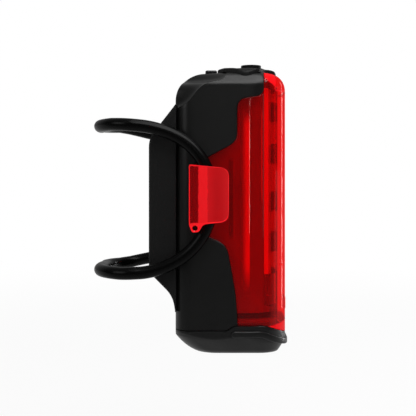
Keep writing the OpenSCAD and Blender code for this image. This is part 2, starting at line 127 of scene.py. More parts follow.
camera_data = bpy.data.cameras.new("camera")
camera_data.sensor_width = 36
camera_data.lens = camera_data.sensor_width * CAMERA_AWAY / (FRAME_PX * PX_ACROSS)
camera_data.shift_y = -FRAME_DROP_PX / FRAME_PX
camera_data.clip_start = 0.01
camera = placed("camera", camera_data)
camera.location = (CAMERA_X * MM, -CAMERA_AWAY * MM, CAMERA_Z * MM)
camera.rotation_euler = (math.pi / 2, 0, 0)
bpy.context.scene.camera = camera
print(f"camera lens {camera_data.lens:.1f} mm, shift {camera_data.shift_y:.3f}")

# %% [markdown]
# ## Node trees in Python
#
# A finish is a small formula: a grain, a mask, a sum. The class below wraps one socket, so that
# adding or multiplying two of them adds the Math node, and one method makes every other node.


# %% A socket that does arithmetic
class Wire:
    """One output socket of a node tree, or none yet."""

    def __init__(self, tree, socket=None):
        self.tree = tree
        self.socket = socket

    def node(self, kind, inputs=None, output=0, **settings):
        """Adds a node, sets it up, feeds its inputs with values or wires, and returns one output."""
        made = self.tree.nodes.new(kind)
        for name, value in settings.items():
            setattr(made, name, value)
        for key, value in (inputs or {}).items():
            if isinstance(value, Wire):
                self.tree.links.new(value.socket, made.inputs[key])
            else:
                made.inputs[key].default_value = value
        return Wire(self.tree, made.outputs[output] if made.outputs else None)

    def also(self, output):
        """Another output of the same node."""
        return Wire(self.tree, self.socket.node.outputs[output])

    def math(self, operation, a, b=0.0):
        return self.node("ShaderNodeMath", {0: a, 1: b}, operation=operation)

    def ramp(self, start, stop, first=0.0, last=1.0):
        """A smooth change from first to last while this goes from start to stop."""
        span = {"Value": self, "From Min": start, "From Max": stop, "To Min": first, "To Max": last}
        return self.node("ShaderNodeMapRange", span, interpolation_type="SMOOTHSTEP")

    def stripe(self, a, b, c, d):
        """1 from b to c, falling to 0 at a and d."""
        return self.ramp(a, b) * self.ramp(c, d, 1.0, 0.0)

    def max(self, other):
        return self.math("MAXIMUM", self, other)

    def min(self, other):
        return self.math("MINIMUM", self, other)

    def __abs__(self):
        return self.math("ABSOLUTE", self)

    def __add__(self, other):
        return self.math("ADD", self, other)

    def __sub__(self, other):
        return self.math("SUBTRACT", self, other)

    def __rsub__(self, other):
        return self.math("SUBTRACT", other, self)

    def __mul__(self, other):
        return self.math("MULTIPLY", self, other)

    __radd__ = __add__
    __rmul__ = __mul__


def new_finish(name):
    """An empty material and a wire to build its nodes from."""
    finish = bpy.data.materials.new(name)
    finish.use_nodes = True
    finish.node_tree.nodes.clear()
    return finish, Wire(finish.node_tree)


def show(wire, shader):
    """Links a shader to the material's surface."""
    wire.node("ShaderNodeOutputMaterial", {"Surface": shader})


print("node helper ready")

# %% [markdown]
# ## Studio
#
# The light floats on white in the picture, yet its black flank stays black: floor and backdrop of
# such a studio are pale, and the room on the camera's side is dark. So floor and world are white to
# the camera and through clear pieces, dimmer to mirror rays, and dark to those that run back into the
# room. The floor keeps a faint shadow. Two large lamps stand above and in front, a soft and a narrow
# one at the sides. A strip draws the upright highlight on the lens, and a lamp behind its rear rim.

# %% World and floor
FLOOR_DROP = 40.0
FLOOR_SIZE = 30.0
SHADOW_REACH = 0.6
SHADOW_SHARE = 0.15
WORLD_FILL = 0.55
ROOM_DARK = 0.06
FLOOR_FADE = 0.2
FLOOR_GLEAM, CEILING_GLEAM, BACKDROP_GLEAM = 0.5, 0.18, 0.3
WHITE = (1, 1, 1, 1)

world = bpy.data.worlds.new("studio")
world.use_nodes = True
world.node_tree.nodes.clear()
bpy.context.scene.world = world
bpy.context.scene.view_settings.view_transform = "Standard"


def ray_kinds(wire):
    """Two masks: rays from the camera or through clear pieces, and mirror rays."""
    rays = wire.node("ShaderNodeLightPath")
    straight = rays.also("Is Camera Ray").max(rays.also("Is Transmission Ray"))
    return straight, rays.also("Is Glossy Ray")


sky = Wire(world.node_tree)
heading = sky.node("ShaderNodeTexCoord", output="Generated")
heading = sky.node("ShaderNodeSeparateXYZ", {0: heading})
backdrop = heading.also("Y").ramp(-0.1, 0.5, ROOM_DARK, BACKDROP_GLEAM)
ceiling = heading.also("Z").ramp(0.35, 0.8, ROOM_DARK, CEILING_GLEAM)
straight, mirror = ray_kinds(sky)
indirect = mirror * (backdrop.max(ceiling) - WORLD_FILL) + WORLD_FILL
sky_level = straight * (1 - indirect) + indirect
sky_glow = sky.node("ShaderNodeBackground", {"Color": WHITE, "Strength": sky_level})
sky.node("ShaderNodeOutputWorld", {"Surface": sky_glow})

floor_paint, wire = new_finish("floor_paint")
paper = wire.node("ShaderNodeBsdfDiffuse", {"Color": (0.85, 0.85, 0.85, 1)})
place = wire.node("ShaderNodeTexCoord", output="Object")
distance = wire.node("ShaderNodeVectorMath", {0: place}, output="Value", operation="LENGTH")
shadow = distance.ramp(0.1, SHADOW_REACH, SHADOW_SHARE, 0.0)
straight, mirror = ray_kinds(wire)
toward_room = wire.node("ShaderNodeSeparateXYZ", {0: place}, output="Y")
mirror_level = toward_room.ramp(-FLOOR_FADE, 0.1, ROOM_DARK, FLOOR_GLEAM)
glow_level = straight * (1 - mirror_level) + mirror_level
glow = wire.node("ShaderNodeEmission", {"Color": WHITE, "Strength": glow_level})
white_share = straight.max(mirror) * (1 - shadow)
show(wire, wire.node("ShaderNodeMixShader", {0: white_share, 1: paper, 2: glow}))
floor_mesh = bpy.data.meshes.new("floor")
floor_z = cad_bounds[0][2] - FLOOR_DROP * MM
corners = ((-1, -1), (1, -1), (1, 1), (-1, 1))
corners = [(x * FLOOR_SIZE, y * FLOOR_SIZE, floor_z) for x, y in corners]
floor_mesh.from_pydata(corners, [], [(0, 1, 2, 3)])
floor_mesh.materials.append(floor_paint)
floor = placed("floor", floor_mesh)
print(f"floor at {floor_z / MM:.1f} mm")


# %% Lamps
def softbox(name, place, aim, wide, tall, level):
    """A rectangular lamp whose face has that brightness, turned to a point. Sizes in millimetres."""
    lamp = bpy.data.lights.new(name, "AREA")
    lamp.shape = "RECTANGLE"
    lamp.size, lamp.size_y = wide * MM, tall * MM
    lamp.energy = level * math.pi * wide * tall * MM * MM
    thing = placed(name, lamp)
    thing.location = Vector(place) * MM
    thing.rotation_euler = Vector(np.subtract(aim, place)).to_track_quat("-Z", "Y").to_euler()


MIDDLE = (29, 0, 0)
softbox("lamp_top", (80, -50, 330), MIDDLE, 200, 160, 2.5)
softbox("lamp_front", (150, -230, 330), MIDDLE, 400, 200, 3.6)
softbox("lamp_side", (-300, -300, 160), MIDDLE, 220, 220, 1.3)
softbox("lamp_right", (300, -290, 60), MIDDLE, 20, 200, 0.5)
softbox("lamp_strip", (48.4, -300, 45), (48.4, 0, 0), 1.0, 150, 16.0)
softbox("lamp_rim", (300, 190, 10), MIDDLE, 24, 260, 12.0)

# %% [markdown]
# ## Finishes
#
# Every plain moulding has the same recipe in different amounts: a colour that drifts slightly over
# the piece, a roughness that drifts with it, and a fine grain in the surface. Object coordinates
# are used throughout, so the grain has one size on every piece.


# %% A moulded finish
def grain(wire, size, detail=2.0):
    """Noise between 0 and 1 whose patches are about size millimetres wide."""
    place = wire.node("ShaderNodeTexCoord", output="Object")
    noise = {"Vector": place, "Scale": 1 / (size * MM), "Detail": detail}
    return wire.node("ShaderNodeTexNoise", noise, output="Fac")


def tinted(wire, mask, dark, light):
    """A colour between two, by a mask."""
    ends = {0: mask, 6: (*dark, 1), 7: (*light, 1)}
    return wire.node("ShaderNodeMix", ends, output=2, data_type="RGBA")


def bumpy(wire, strength, relief, height):
    """A normal that a height between 0 and 1 tilts, as a relief of so many millimetres."""
    return wire.node(
        "ShaderNodeBump", {"Strength": strength, "Distance": relief * MM, "Height": height}
    )


def moulded(name, colour, rough, gloss=0.25, metal=0.0, grain_mm=0.25, relief=0.02, drift=0.18):
    """A moulding in a colour, or in a grey from one number, that drifts over centimetres. Its
    roughness drifts too, and it has a fine grain."""
    finish, wire = new_finish(name)
    cloud = grain(wire, 7.0, 3.0)
    speck = grain(wire, grain_mm)
    colour = np.broadcast_to(colour, 3)
    dark, light = colour * (1 - drift), np.minimum(1.0, colour * (1 + drift))
    skin = {
        "Base Color": tinted(wire, cloud * 0.7 + speck * 0.3, dark, light),
        "Roughness": rough - 0.06 + cloud * 0.08 + speck * 0.04,
        "Metallic": metal,
        "Specular IOR Level": gloss,
        "Normal": bumpy(wire, 1.0, relief, speck),
    }
    show(wire, wire.node("ShaderNodeBsdfPrincipled", skin))
    return finish


BLACK_SHELL = moulded("soft_touch_black", (0.0045, 0.0045, 0.0044), 0.3, gloss=0.4)
BLACK_PAD = moulded("pad_rubber", 0.0055, 0.5, grain_mm=0.4, relief=0.03)
BLACK_CAP = moulded("cap_satin_black", 0.005, 0.3, gloss=0.45)
BLACK_SILICONE = moulded("silicone_black", 0.004, 0.5, gloss=0.2, grain_mm=0.3)
BLACK_BUTTON = moulded("button_black", 0.002, 0.5, gloss=0.1, grain_mm=0.3)
BLACK_CORD = moulded("cord_rubber", 0.001, 0.24, gloss=0.15, grain_mm=0.6, relief=0.0005)
SMOKED = moulded("smoked_window", (0.004, 0.004, 0.005), 0.25, gloss=0.3, relief=0.002)
print("black finishes:", BLACK_SHELL.name, BLACK_PAD.name, BLACK_CAP.name, BLACK_CORD.name)

# %% [markdown]
# The housing is clear red polycarbonate. Real glass shaders are slow to clear inside a closed box,
# so the wall is a mix of a red-tinted Transparent shader and a glossy red Principled one. More of
# the glossy one shows at a glancing angle, as on real plastic. Rays then pass straight, so what
# refraction gathers in the picture (bright bars, dark squares, light edges) is painted in by zones,
# which are masks on object coordinates in millimetres.

# %% Clear red
RED_TINT = (0.96, 0.004, 0.006, 1)


def object_xz(wire):
    """The object coordinates X and Z, in millimetres."""
    place = wire.node("ShaderNodeTexCoord", output="Object")
    place = wire.node("ShaderNodeSeparateXYZ", {0: place})
    return place.also("X") * (1 / MM), place.also("Z") * (1 / MM)


def clear_red(name, zones, dark, light, cover, rim, rough, index):
    """Red plastic. cover is the share that stays on the surface, and rim what a glancing angle adds.
    zones gives, from the wire, a further share, how light its red is, and a share of matt skin that
    carries painted glow, if any."""
    finish, wire = new_finish(name)
    cloud = grain(wire, 9.0, 3.0)
    haze, lightness, glow_matt_share = zones(wire)
    tone = tinted(wire, lightness + (cloud - 0.5) * 0.12, dark, light)
    skin = {
        "Base Color": tone,
        "Roughness": cloud * 0.01 + rough,
        "IOR": index,
        "Specular IOR Level": 1.0,
        "Normal": bumpy(wire, 0.05, 0.001, grain(wire, 6.0)),
    }
    skin = wire.node("ShaderNodeBsdfPrincipled", skin)
    clear = wire.node("ShaderNodeBsdfTransparent", {"Color": RED_TINT})
    edge = wire.node("ShaderNodeLayerWeight", {"Blend": 0.25}, output="Fresnel")
    share = (edge * rim + cover + haze).min(0.95)
    film = wire.node("ShaderNodeMixShader", {0: share, 1: clear, 2: skin})
    if glow_matt_share:
        matt = {"Base Color": tone, "Roughness": cloud * 0.05 + 0.45, "Specular IOR Level": 0.05}
        matt = wire.node("ShaderNodeBsdfPrincipled", matt)
        film = wire.node("ShaderNodeMixShader", {0: glow_matt_share, 1: film, 2: matt})
    show(wire, film)
    return finish


def polished_with_painted_glow(wire):
    """A thin even film, with painted glow in the top's corner, in a level band near the top and low at
    the rear.
    """
    x, z = object_xz(wire)
    # Painted glow: the top's corner, a level band near the top at the rear and the rear's low corner get
    # a matt, lighter red skin.
    corner_glow = (z + x * 0.8).ramp(62.6, 63.2) * x.ramp(40.2, 41.0, 1.0, 0.0)
    foot_glow = (z - x * 0.2).ramp(-39.1, -38.3, 1.0, 0.0) * x.ramp(34.0, 37.0)
    ledge_glow = z.stripe(29.4, 29.6, 30.0, 30.2) * x.ramp(40.2, 40.5)
    glow_matt_share = (corner_glow * 0.85).max((foot_glow * 0.75).max(ledge_glow * 0.5))
    return grain(wire, 5.0) * 0.02, glow_matt_share + 0.4, glow_matt_share


RED_LENS = clear_red(
    "clear_red_lens_painted_glow", polished_with_painted_glow, (0.4, 0.002, 0.006), (1.0, 0.003, 0.008),
    cover=0.07, rim=0.12, rough=0.012, index=2.4,
)

# %% The lens from inside
BOARD_FOOT, BOARD_TOP, FRAME_FOOT = -17.6, 30.2, -25.6
LED_ZONE_X = (39.1, 39.5, 60.0, 61.0)
EMITTER_X, EMITTER_HALF = (38.8, 38.9, 41.9, 42.1), 2.6
EMITTER_Z = (24.3, 13.2, 0.8, -9.6)
SILL_GLOW_Z = (-31.8, -31.5, -29.5, -29.3)
# Painted light on the inner wall: highlights where the wall turns, along a red line, at a thin edge and
# along the board's edge. The rib entry is a darker, hazier band beside the hook.
PAINTED_UPRIGHT_BANDS = {
    "turn": ((31.0, 33.3, 33.7, 34.1), (-27.0, -14.0, 20.0, 27.0), 0.9),
    "painted_red_line": ((36.5, 36.9, 37.1, 37.3), (-4.0, 4.0, 22.0, 28.0), 0.6),
    "rib": ((28.3, 28.6, 29.4, 29.7), (-9.5, -7.0, 11.0, 13.0), 0.45),
    "painted_edge_line": ((29.6, 29.7, 29.9, 30.0), (-9.5, -9.0, 12.0, 12.5), 0.4),
    "painted_board_glow": (
        (37.5, 37.6, 38.7, 38.8), (BOARD_FOOT - 0.2, BOARD_FOOT, BOARD_TOP, BOARD_TOP + 0.2), 0.95
    ),
}


def lens_inside(wire):
    """Frosted in front of the emitters, past the ends of their board and low down. Painted highlights
    where the wall turns, along a red line further back, at a thin edge beside the hook and along the
    board's edge, a painted glow in a band low down by the seal, painted dark images of each emitter,
    and a darker, hazier band beside the hook."""
    x, z = object_xz(wire)
    turn, painted_red_line, rib, painted_edge_line, painted_board_glow = (
        x.stripe(*across) * z.stripe(*along) * share for across, along, share in PAINTED_UPRIGHT_BANDS.values()
    )
    before_emitters = x.stripe(*LED_ZONE_X) * 0.34
    reach = EMITTER_HALF - 0.1
    first, *others = (
        z.stripe(mid - EMITTER_HALF, mid - reach, mid + reach, mid + EMITTER_HALF) for mid in EMITTER_Z
    )
    # Painted dark images of the emitters: darker, hazier squares on the wall in front of each.
    squares = sum(others, first) * x.stripe(*EMITTER_X) * 0.2
    below = z.stripe(FRAME_FOOT - 0.2, FRAME_FOOT, BOARD_FOOT - 0.3, BOARD_FOOT)
    above = z.ramp(BOARD_TOP, BOARD_TOP + 0.3)
    ends = (below * 0.6 + above * (grain(wire, 1.6) * 0.15 + 0.4)) * x.ramp(37.4, 37.8)
    lines = turn.max(painted_red_line).max(painted_edge_line.max(painted_board_glow))
    # Painted glow: a band low down by the seal, hazier and lighter red.
    painted_sill_glow = z.stripe(*SILL_GLOW_Z) * 0.45
    haze = before_emitters + ends + lines + rib + squares + painted_sill_glow
    darker = rib * 0.28 + squares * 0.5 + before_emitters * 0.2
    return haze, lines + painted_sill_glow * 0.35 + 0.17 - darker, None


RED_INSIDE = clear_red(
    "frosted_red_inside_painted_light", lens_inside, (0.12, 0.001, 0.002), (1.0, 0.002, 0.004),
    cover=0.04, rim=0.08, rough=0.25, index=1.5,
)

# %% The hooks
HOOK_X, HOOK_END = FRONT + 3.4, FRONT + 13.9
HOOK_TOP, HOOK_FOOT = 10.6, -4.6
RIM_TOP, RIM_ROUND, RIM_LEAN = HOOK_TOP + 0.15, 2.4, 0.07


def hook_bands(wire):
    """Clear at the plate's front, dense where the short wall stands behind it, hazy at the end. The
    rounded rim and the lug get a painted highlight."""
    x, z = object_xz(wire)
    waved = x + (grain(wire, 1.2) - 0.5) * 0.5
    band = waved.stripe(20.55, 20.85, 22.8, 23.2)
    end = waved.ramp(22.8, 23.2)
    # Painted highlight: this mask makes the plate's rounded rim and the lug lighter and hazier.
    past_x = (x - (HOOK_END - RIM_ROUND)).max(0.0)
    off_middle = abs(z - (HOOK_FOOT + RIM_TOP) / 2) + (x - HOOK_X) * RIM_LEAN
    past_z = (off_middle - ((RIM_TOP - HOOK_FOOT) / 2 - RIM_ROUND)).max(0.0)
    corner = wire.math("SQRT", past_x * past_x + past_z * past_z)
    rim = (RIM_ROUND - corner).min(x - HOOK_X).ramp(0.3, 0.65, 1.0, 0.0)
    end_haze = x.ramp(23.0, 25.5, 0.42, 0.26) + x.ramp(26.5, 28.2, 0.0, 0.1)
    haze = band * 0.66 + end * end_haze + 0.06
    return haze.max(rim * 0.9), (band * 0.6 + end * 0.25 + 0.3).max(rim), None


RED_HOOK = clear_red(
    "clear_red_hook_painted_rim", hook_bands, (0.7, 0.004, 0.009), (1.0, 0.004, 0.01),
    cover=0.1, rim=0.5, rough=0.12, index=1.5,
)
print("red finishes:", RED_LENS.name, RED_INSIDE.name, RED_HOOK.name)


# %% Meshes from rows of points
def make_piece(name, points, faces, finish, sharp_deg, second=None, second_faces=()):
    """An object from points in millimetres, smooth, with its faces turned outwards. The faces whose
    numbers are in second_faces get a second finish."""
    mesh = bpy.data.meshes.new(name)
    mesh.from_pydata((np.asarray(points, float) * MM).tolist(), [], [list(map(int, f)) for f in faces])
    mesh.polygons.foreach_set("material_index", [int(k in second_faces) for k in range(len(faces))])
    shape = bmesh.new()
    shape.from_mesh(mesh)
    bmesh.ops.remove_doubles(shape, verts=shape.verts, dist=1e-7)
    bmesh.ops.recalc_face_normals(shape, faces=shape.faces)
    shape.to_mesh(mesh)
    shape.free()
    mesh.polygons.foreach_set("use_smooth", [True] * len(mesh.polygons))
    mesh.set_sharp_from_angle(angle=math.radians(sharp_deg))
    mesh.materials.append(finish)
    if second:
        mesh.materials.append(second)
    print(f"{name}: {len(mesh.polygons)} faces")
    return placed(name, mesh)


def numbered(rows):
    """A table of point numbers for a table of points."""
    return np.arange(rows.shape[0] * rows.shape[1]).reshape(rows.shape[:2])


def quads(index):
    """The faces between neighbouring rows and columns of a table of point numbers."""
    a, b, c, d = index[:-1, :-1], index[:-1, 1:], index[1:, 1:], index[1:, :-1]
    return np.stack([a, b, c, d], axis=-1).reshape(-1, 4).tolist()


def closed(index):
    """The same table with its first column again at the end, for a form that goes all the way round."""
    return np.concatenate([index, index[:, :1]], axis=1)


def solid(rows):
    """Points and faces of a closed form whose rows of points go round it."""
    rows = np.asarray(rows, float)
    index = numbered(rows)
    return rows.reshape(-1, 3), quads(closed(index)) + [index[0].tolist(), index[-1].tolist()]


def joined(parts):
    """Several meshes as one list of points and one of faces."""
    points, faces, used = [], [], 0
    for more_points, more_faces in parts:
        points.append(more_points)
        faces += [[v + used for v in f] for f in more_faces]
        used += len(more_points)
    return np.concatenate(points), faces


def whole(half):
    """A ring, or rows of rings, from the half at +y that starts and ends in the middle."""
    return np.concatenate([half, half[..., -2:0:-1, :] * (1, -1, 1)[: half.shape[-1]]], axis=-2)


def pairs(x, y):
    """Points from two coordinates, of which one may be a single number."""
    return np.stack(np.broadcast_arrays(x, y), axis=1)


def at_height(outline, z):
    """A flat outline as points at one height, or at a height of its own for each point."""
    return np.column_stack([outline, np.broadcast_to(z, len(outline))])


# %% Lines and curves
def ease(low, high, value):
    """A smooth step from 0 at low to 1 at high."""
    t = np.clip((value - low) / (high - low), 0, 1)
    return t * t * (3 - 2 * t)


def unit(vectors):
    """The same directions with a length of 1."""
    return vectors / np.linalg.norm(vectors, axis=-1, keepdims=True)


def boxed(wave, power):
    """A sine or cosine drawn towards a square wave, for sections with rounded corners."""
    return np.sign(wave) * np.abs(wave) ** power


def arc(x, y, rx, ry, turn):
    """Points round a middle, on a circle or an ellipse."""
    return pairs(x + rx * np.cos(turn), y + ry * np.sin(turn))


def circle(x, y, r, sides):
    """An outline round a middle, with one radius or with one for each point."""
    return arc(x, y, r, r, np.linspace(0, 2 * np.pi, sides, endpoint=False))


def rounding(r):
    """Steps over a rounded edge: how far in, and how far below the top."""
    return [(r * (1 - math.cos(a)), r * (1 - math.sin(a))) for a in np.linspace(0, np.pi / 2, 6)]


def bezier(points, t):
    """Points on the Bezier curve of some control points."""
    points = [np.asarray(p, float) for p in points]
    t = np.asarray(t)[:, None]
    while len(points) > 1:
        points = [a + (b - a) * t for a, b in zip(points, points[1:])]
    return points[0]


def rounded_line(points, reach):
    """A line through points, each inner corner rounded by a curve that starts reach before it."""
    points = [np.asarray(p, float) for p in points]
    line = [points[:1]]
    for before, corner, after, r in zip(points, points[1:], points[2:], reach):
        ends = corner + unit(before - corner) * r, corner, corner + unit(after - corner) * r
        line.append(bezier(ends, np.linspace(0, 1, 13)))
    line.append(points[-1:])
    return np.vstack(line)


def run_along(line):
    """How far along a line each of its points lies."""
    return np.concatenate([[0], np.cumsum(np.linalg.norm(np.diff(line, axis=0), axis=1))])


def spaced(line, step):
    """The same line with points about step apart."""
    run = run_along(line)
    places = np.linspace(0, run[-1], max(2, round(run[-1] / step) + 1))
    return np.stack([np.interp(places, run, axis) for axis in line.T], axis=1)


# %% [markdown]
# ## Casing form
#
# Shell and lens share one outer form, so one grid of points is made for both. A row is the casing's
# outline at one height, from the middle of the front to the middle of the rear. The rows follow the
# edge of the red window, so that this edge runs along a column of the grid and both pieces end on
# it cleanly. Near the top the front corners are cut by a sculpted facet with a crease in an S.

# %% Outline of the casing at a height
TOP_FRONT_R, TOP_REAR_R, TOP_EDGE_R = 7.5, 4.8, 3.4
EDGE_FLAT = 0.3
CORNER_R, REAR_R, REAR_R_TOP = 4.0, 9.5, 6.0
FACET_SLOPE = math.tan(math.radians(54))
FACET_FOOT, FACET_FULL = TOP - 10.2, TOP - 8.6
FACET_BOW, BOW_AT = -0.12, 0.8
FLAT_MIN = 4.0
CREASE_CLEAR, PAST_CREASE = 0.3, 1.5
CREASE_LOW = [(0.3, 9.2), (4.8, 9.1), (4.3, 3.6), (9.6, 2.7)]
CREASE_HIGH = [(9.6, 2.7), (13.0, 2.2), (12.6, 1.6), (13.4, 0.0)]

crease = np.vstack([bezier(part, np.linspace(0, 1, 40)) for part in (CREASE_LOW, CREASE_HIGH)])
crease_x, crease_z = FRONT + crease[:, 0], TOP - crease[:, 1]


def drawn_in(z, radius, flat=0.0):
    """How far an edge of that radius at the top has drawn in at height z. Of a flat share, it is a
    plain bevel."""
    rise = np.clip(z - TOP + radius, 0, radius)
    return (1 - flat) * (radius - np.sqrt(radius**2 - rise**2)) + flat * rise


def casing_sizes(z):
    """Front, rear, half width and rear corner radius at height z."""
    return (
        FRONT + drawn_in(z, TOP_FRONT_R),
        REAR - drawn_in(z, TOP_REAR_R),
        HALF_W - drawn_in(z, TOP_EDGE_R, EDGE_FLAT),
        REAR_R + (REAR_R_TOP - REAR_R) * ease(TOP - TOP_REAR_R, TOP, z),
    )


def front_columns(z):
    """The outline from the middle of the front, over the facet and the crease, to the flank."""
    front, _, half, _ = casing_sizes(z)
    cut = ease(FACET_FOOT, FACET_FULL, z)
    turn_x, turn_y = front + CORNER_R, half - CORNER_R
    crease_at = max(float(np.interp(z, crease_z, crease_x)), front + CREASE_CLEAR)
    end_x = max(turn_x, crease_at + PAST_CREASE)

    def flank_y(x):
        return turn_y + np.sqrt(CORNER_R**2 - np.clip(turn_x - x, 0, CORNER_R) ** 2)

    facet_y = flank_y(crease_at) - (crease_at - front) / FACET_SLOPE
    flat_y = turn_y + (np.clip(facet_y, FLAT_MIN, turn_y) - turn_y) * cut
    u = 0.5 - 0.5 * np.cos(np.linspace(0, np.pi, 15))
    turn = u * math.acos(np.clip((turn_x - crease_at) / CORNER_R, 0, 1))
    corner = arc(turn_x, turn_y, -CORNER_R, CORNER_R, turn)
    start, stop = np.array([front, flat_y]), np.array([crease_at, flank_y(crease_at)])
    chord = stop - start
    bow = start + BOW_AT * chord + FACET_BOW * np.array([-chord[1], chord[0]])
    facet = corner + (bezier([start, bow, stop], u) - corner) * cut
    rest_x = crease_at + (end_x - crease_at) * (np.arange(1, 10) / 9) ** 2
    flat = pairs(front, np.linspace(0, flat_y, 6)[:5])
    return np.vstack([flat, facet, pairs(rest_x, flank_y(rest_x))])


def rear_point(run, z):
    """A point on flank, rear corner and rear face. run counts from where the rear corner starts."""
    _, rear, half, r = casing_sizes(z)
    turn = np.clip(run / r, 0, np.pi / 2)
    x = rear - r + np.where(run < 0, run, r * np.sin(turn))
    y = half - r + r * np.cos(turn) - np.maximum(run - r * np.pi / 2, 0)
    return np.stack([x, y, z], axis=-1)


def run_to(x, z):
    """The run at which flank or rear corner reaches x."""
    _, rear, _, r = casing_sizes(z)
    past = x - (rear - r)
    return np.where(past < 0, past, r * np.arcsin(np.clip(past / r, -1, 1)))


print(f"crease from {crease_z[0]:.1f} to {crease_z[-1]:.1f} mm")

# %% [markdown]
# The window's edge starts at the top, steps forward, runs down, reaches forward under the hook in a
# wing and comes back to lean gently down to the seam. It is drawn as a line with rounded corners.
# The seam has a hump over the cap's pull rib and drops at the rear.

# %% Edge of the window and the seam
WINDOW_TOP_X, WINDOW_X = REAR - 6.0, REAR - 12.9
WING_X = FRONT + CORNER_R + 0.6
WINDOW_CORNERS = [
    (WINDOW_TOP_X, TOP - 4.1), (WINDOW_TOP_X, TOP - 6.1), (WINDOW_X, TOP - 7.2), (WINDOW_X, 16.5),
    (WING_X, 10.4), (WING_X, -6.2), (27.9, -9.9), (30.3, -22.5), (WINDOW_X + 0.1, shell_low[2]),
]
WINDOW_ROUNDS = [1.9, 2.4, 2.4, 1.0, 1.0, 2.6, 6.0]
SEAM_FRONT, SEAM_REAR = shell_low[2], lens_low[2]
SEAM_HUMP = SEAM_FRONT + 1.3
HUMP_START, HUMP_FULL, HUMP_END = REAR - 16.0, REAR - 13.4, REAR - 6.9
SEAM_BEND = 1.3
SEAM_FALL = (SEAM_HUMP - SEAM_REAR) / (REAR - HUMP_END) ** SEAM_BEND
SEAM_BLEND_Z = -20.0
TOP_ROWS, ROW_STEP = 20, 0.45

drop = (TOP - WINDOW_CORNERS[0][1]) * (np.arange(TOP_ROWS) / TOP_ROWS) ** 2
window_line = spaced(rounded_line(WINDOW_CORNERS, WINDOW_ROUNDS), ROW_STEP)
window_edge = np.vstack([pairs(WINDOW_TOP_X, TOP - drop), window_line])


def seam_height(x):
    """Height of the casing's lower edge at x."""
    hump = (SEAM_HUMP - SEAM_FRONT) * ease(HUMP_START, HUMP_FULL, x)
    return SEAM_FRONT + hump - SEAM_FALL * np.maximum(x - HUMP_END, 0) ** SEAM_BEND


print(f"{len(window_edge)} rows along the window, seam from {SEAM_FRONT:.1f} to {SEAM_REAR:.1f} mm")

# %% Grid of the casing
SHELL_LIP, LENS_LIP, WINDOW_GAP = 0.3, 0.15, 0.1
SHELL_T, LINER_INSET, WALL_T = 1.0, 1.1, 2.0
TURN_CLEAR, FLAT_END = 0.5, 0.3
FLANK_STEPS = 14
LIP_TURN = np.linspace(0, np.pi / 2, 5)

edge = pairs(run_to(*window_edge.T), window_edge[:, 1])
along = unit(np.gradient(edge, axis=0))
to_shell = pairs(along[:, 1], -along[:, 0])
to_shell[:TOP_ROWS] = (-1, 0)

rows = []
for place, side in zip(edge, to_shell):
    z = place[1]
    front = front_columns(z)
    flank_start = np.array([run_to(front[-1, 0], z), z])
    lip_start = place + side * SHELL_LIP
    flank = flank_start + (lip_start - flank_start) * np.linspace(0, 1, FLANK_STEPS + 1)[1:, None]
    lip = place + side * (SHELL_LIP * (1 - np.sin(LIP_TURN[1:])))[:, None]
    lens_lip = place - side * (WINDOW_GAP + LENS_LIP * (1 - np.cos(LIP_TURN)))[:, None]
    _, _, half, r = casing_sizes(z)
    lip_end, rear_middle = lens_lip[-1], np.array([r * np.pi / 2 + half - r, z])
    turn_start = max(0.0, lip_end[0] + TURN_CLEAR)
    flat = np.linspace(lip_end[0], turn_start - FLAT_END, 12)[1:]
    runs = np.concatenate([flat, np.linspace(turn_start, rear_middle[0], 41)])
    share = (runs - lip_end[0]) / (rear_middle[0] - lip_end[0])
    rest = lip_end + (rear_middle - lip_end) * share[:, None]
    track = np.vstack([flank, lip, lens_lip, rest])
    rows.append(np.vstack([at_height(front, z), rear_point(*track.T)]))
skin = np.array(rows)

# The shell takes the first columns, and the lens comes to the surface where they end.
N_LIP = len(LIP_TURN)
SHELL_END = len(front) + FLANK_STEPS + N_LIP - 1
shell_depth = np.zeros(SHELL_END)
shell_depth[-(N_LIP - 1) :] = SHELL_LIP * (1 - np.cos(LIP_TURN[1:]))
lens_depth = np.zeros(skin.shape[1])
lens_depth[:SHELL_END] = LINER_INSET
lens_depth[SHELL_END : SHELL_END + N_LIP] = LENS_LIP * (1 - np.sin(LIP_TURN))

level = skin[..., 2]
share = (SEAM_BLEND_Z - level) / (SEAM_BLEND_Z - SEAM_FRONT)
blended = SEAM_BLEND_Z + share * (seam_height(skin[..., 0]) - SEAM_BLEND_Z)
skin[..., 2] = np.where(level < SEAM_BLEND_Z, blended, level)

ROWS, COLUMNS = skin.shape[:2]
probe = bpy.data.meshes.new("probe")
probe.from_pydata(skin.reshape(-1, 3).tolist(), [], quads(numbered(skin)))
normals = np.zeros(skin.size)
probe.vertex_normals.foreach_get("vector", normals)
bpy.data.meshes.remove(probe)
normals = normals.reshape(skin.shape)
if normals[ROWS // 2, COLUMNS - 1, 0] < 0:
    normals = -normals
normals[:, [0, -1], 1] = 0
normals[0] = (0, 0, 1)
normals /= np.maximum(np.linalg.norm(normals, axis=2, keepdims=True), 1e-9)
print(f"casing grid: {ROWS} rows of {COLUMNS} points a side")


# %% [markdown]
# ## Shell and lens
#
# Both are walls of even thickness cut from that grid. A wall is the skin moved in along its normals,
# once for the outside and once for the inside, mirrored to the other flank, and closed along the
# seam and over the top. The shell's edge at the window is rounded, and the lens comes up flush.


# %% Walls from the grid
def wall(depth, inside, last):
    """Points of a wall over the first columns of the grid, the outer ones before the inner ones, and
    the tables of their numbers. last is the last column that the other half repeats."""
    part = slice(0, len(depth))
    sides = []
    for inward in (depth[None, :, None], inside):
        half = skin[:, part] - normals[:, part] * inward
        sides.append(np.concatenate([half[:, 1:last][:, ::-1] * (1, -1, 1), half], axis=1))
    out_no = numbered(sides[0])
    return np.concatenate(sides).reshape(-1, 3), out_no, out_no + out_no.size


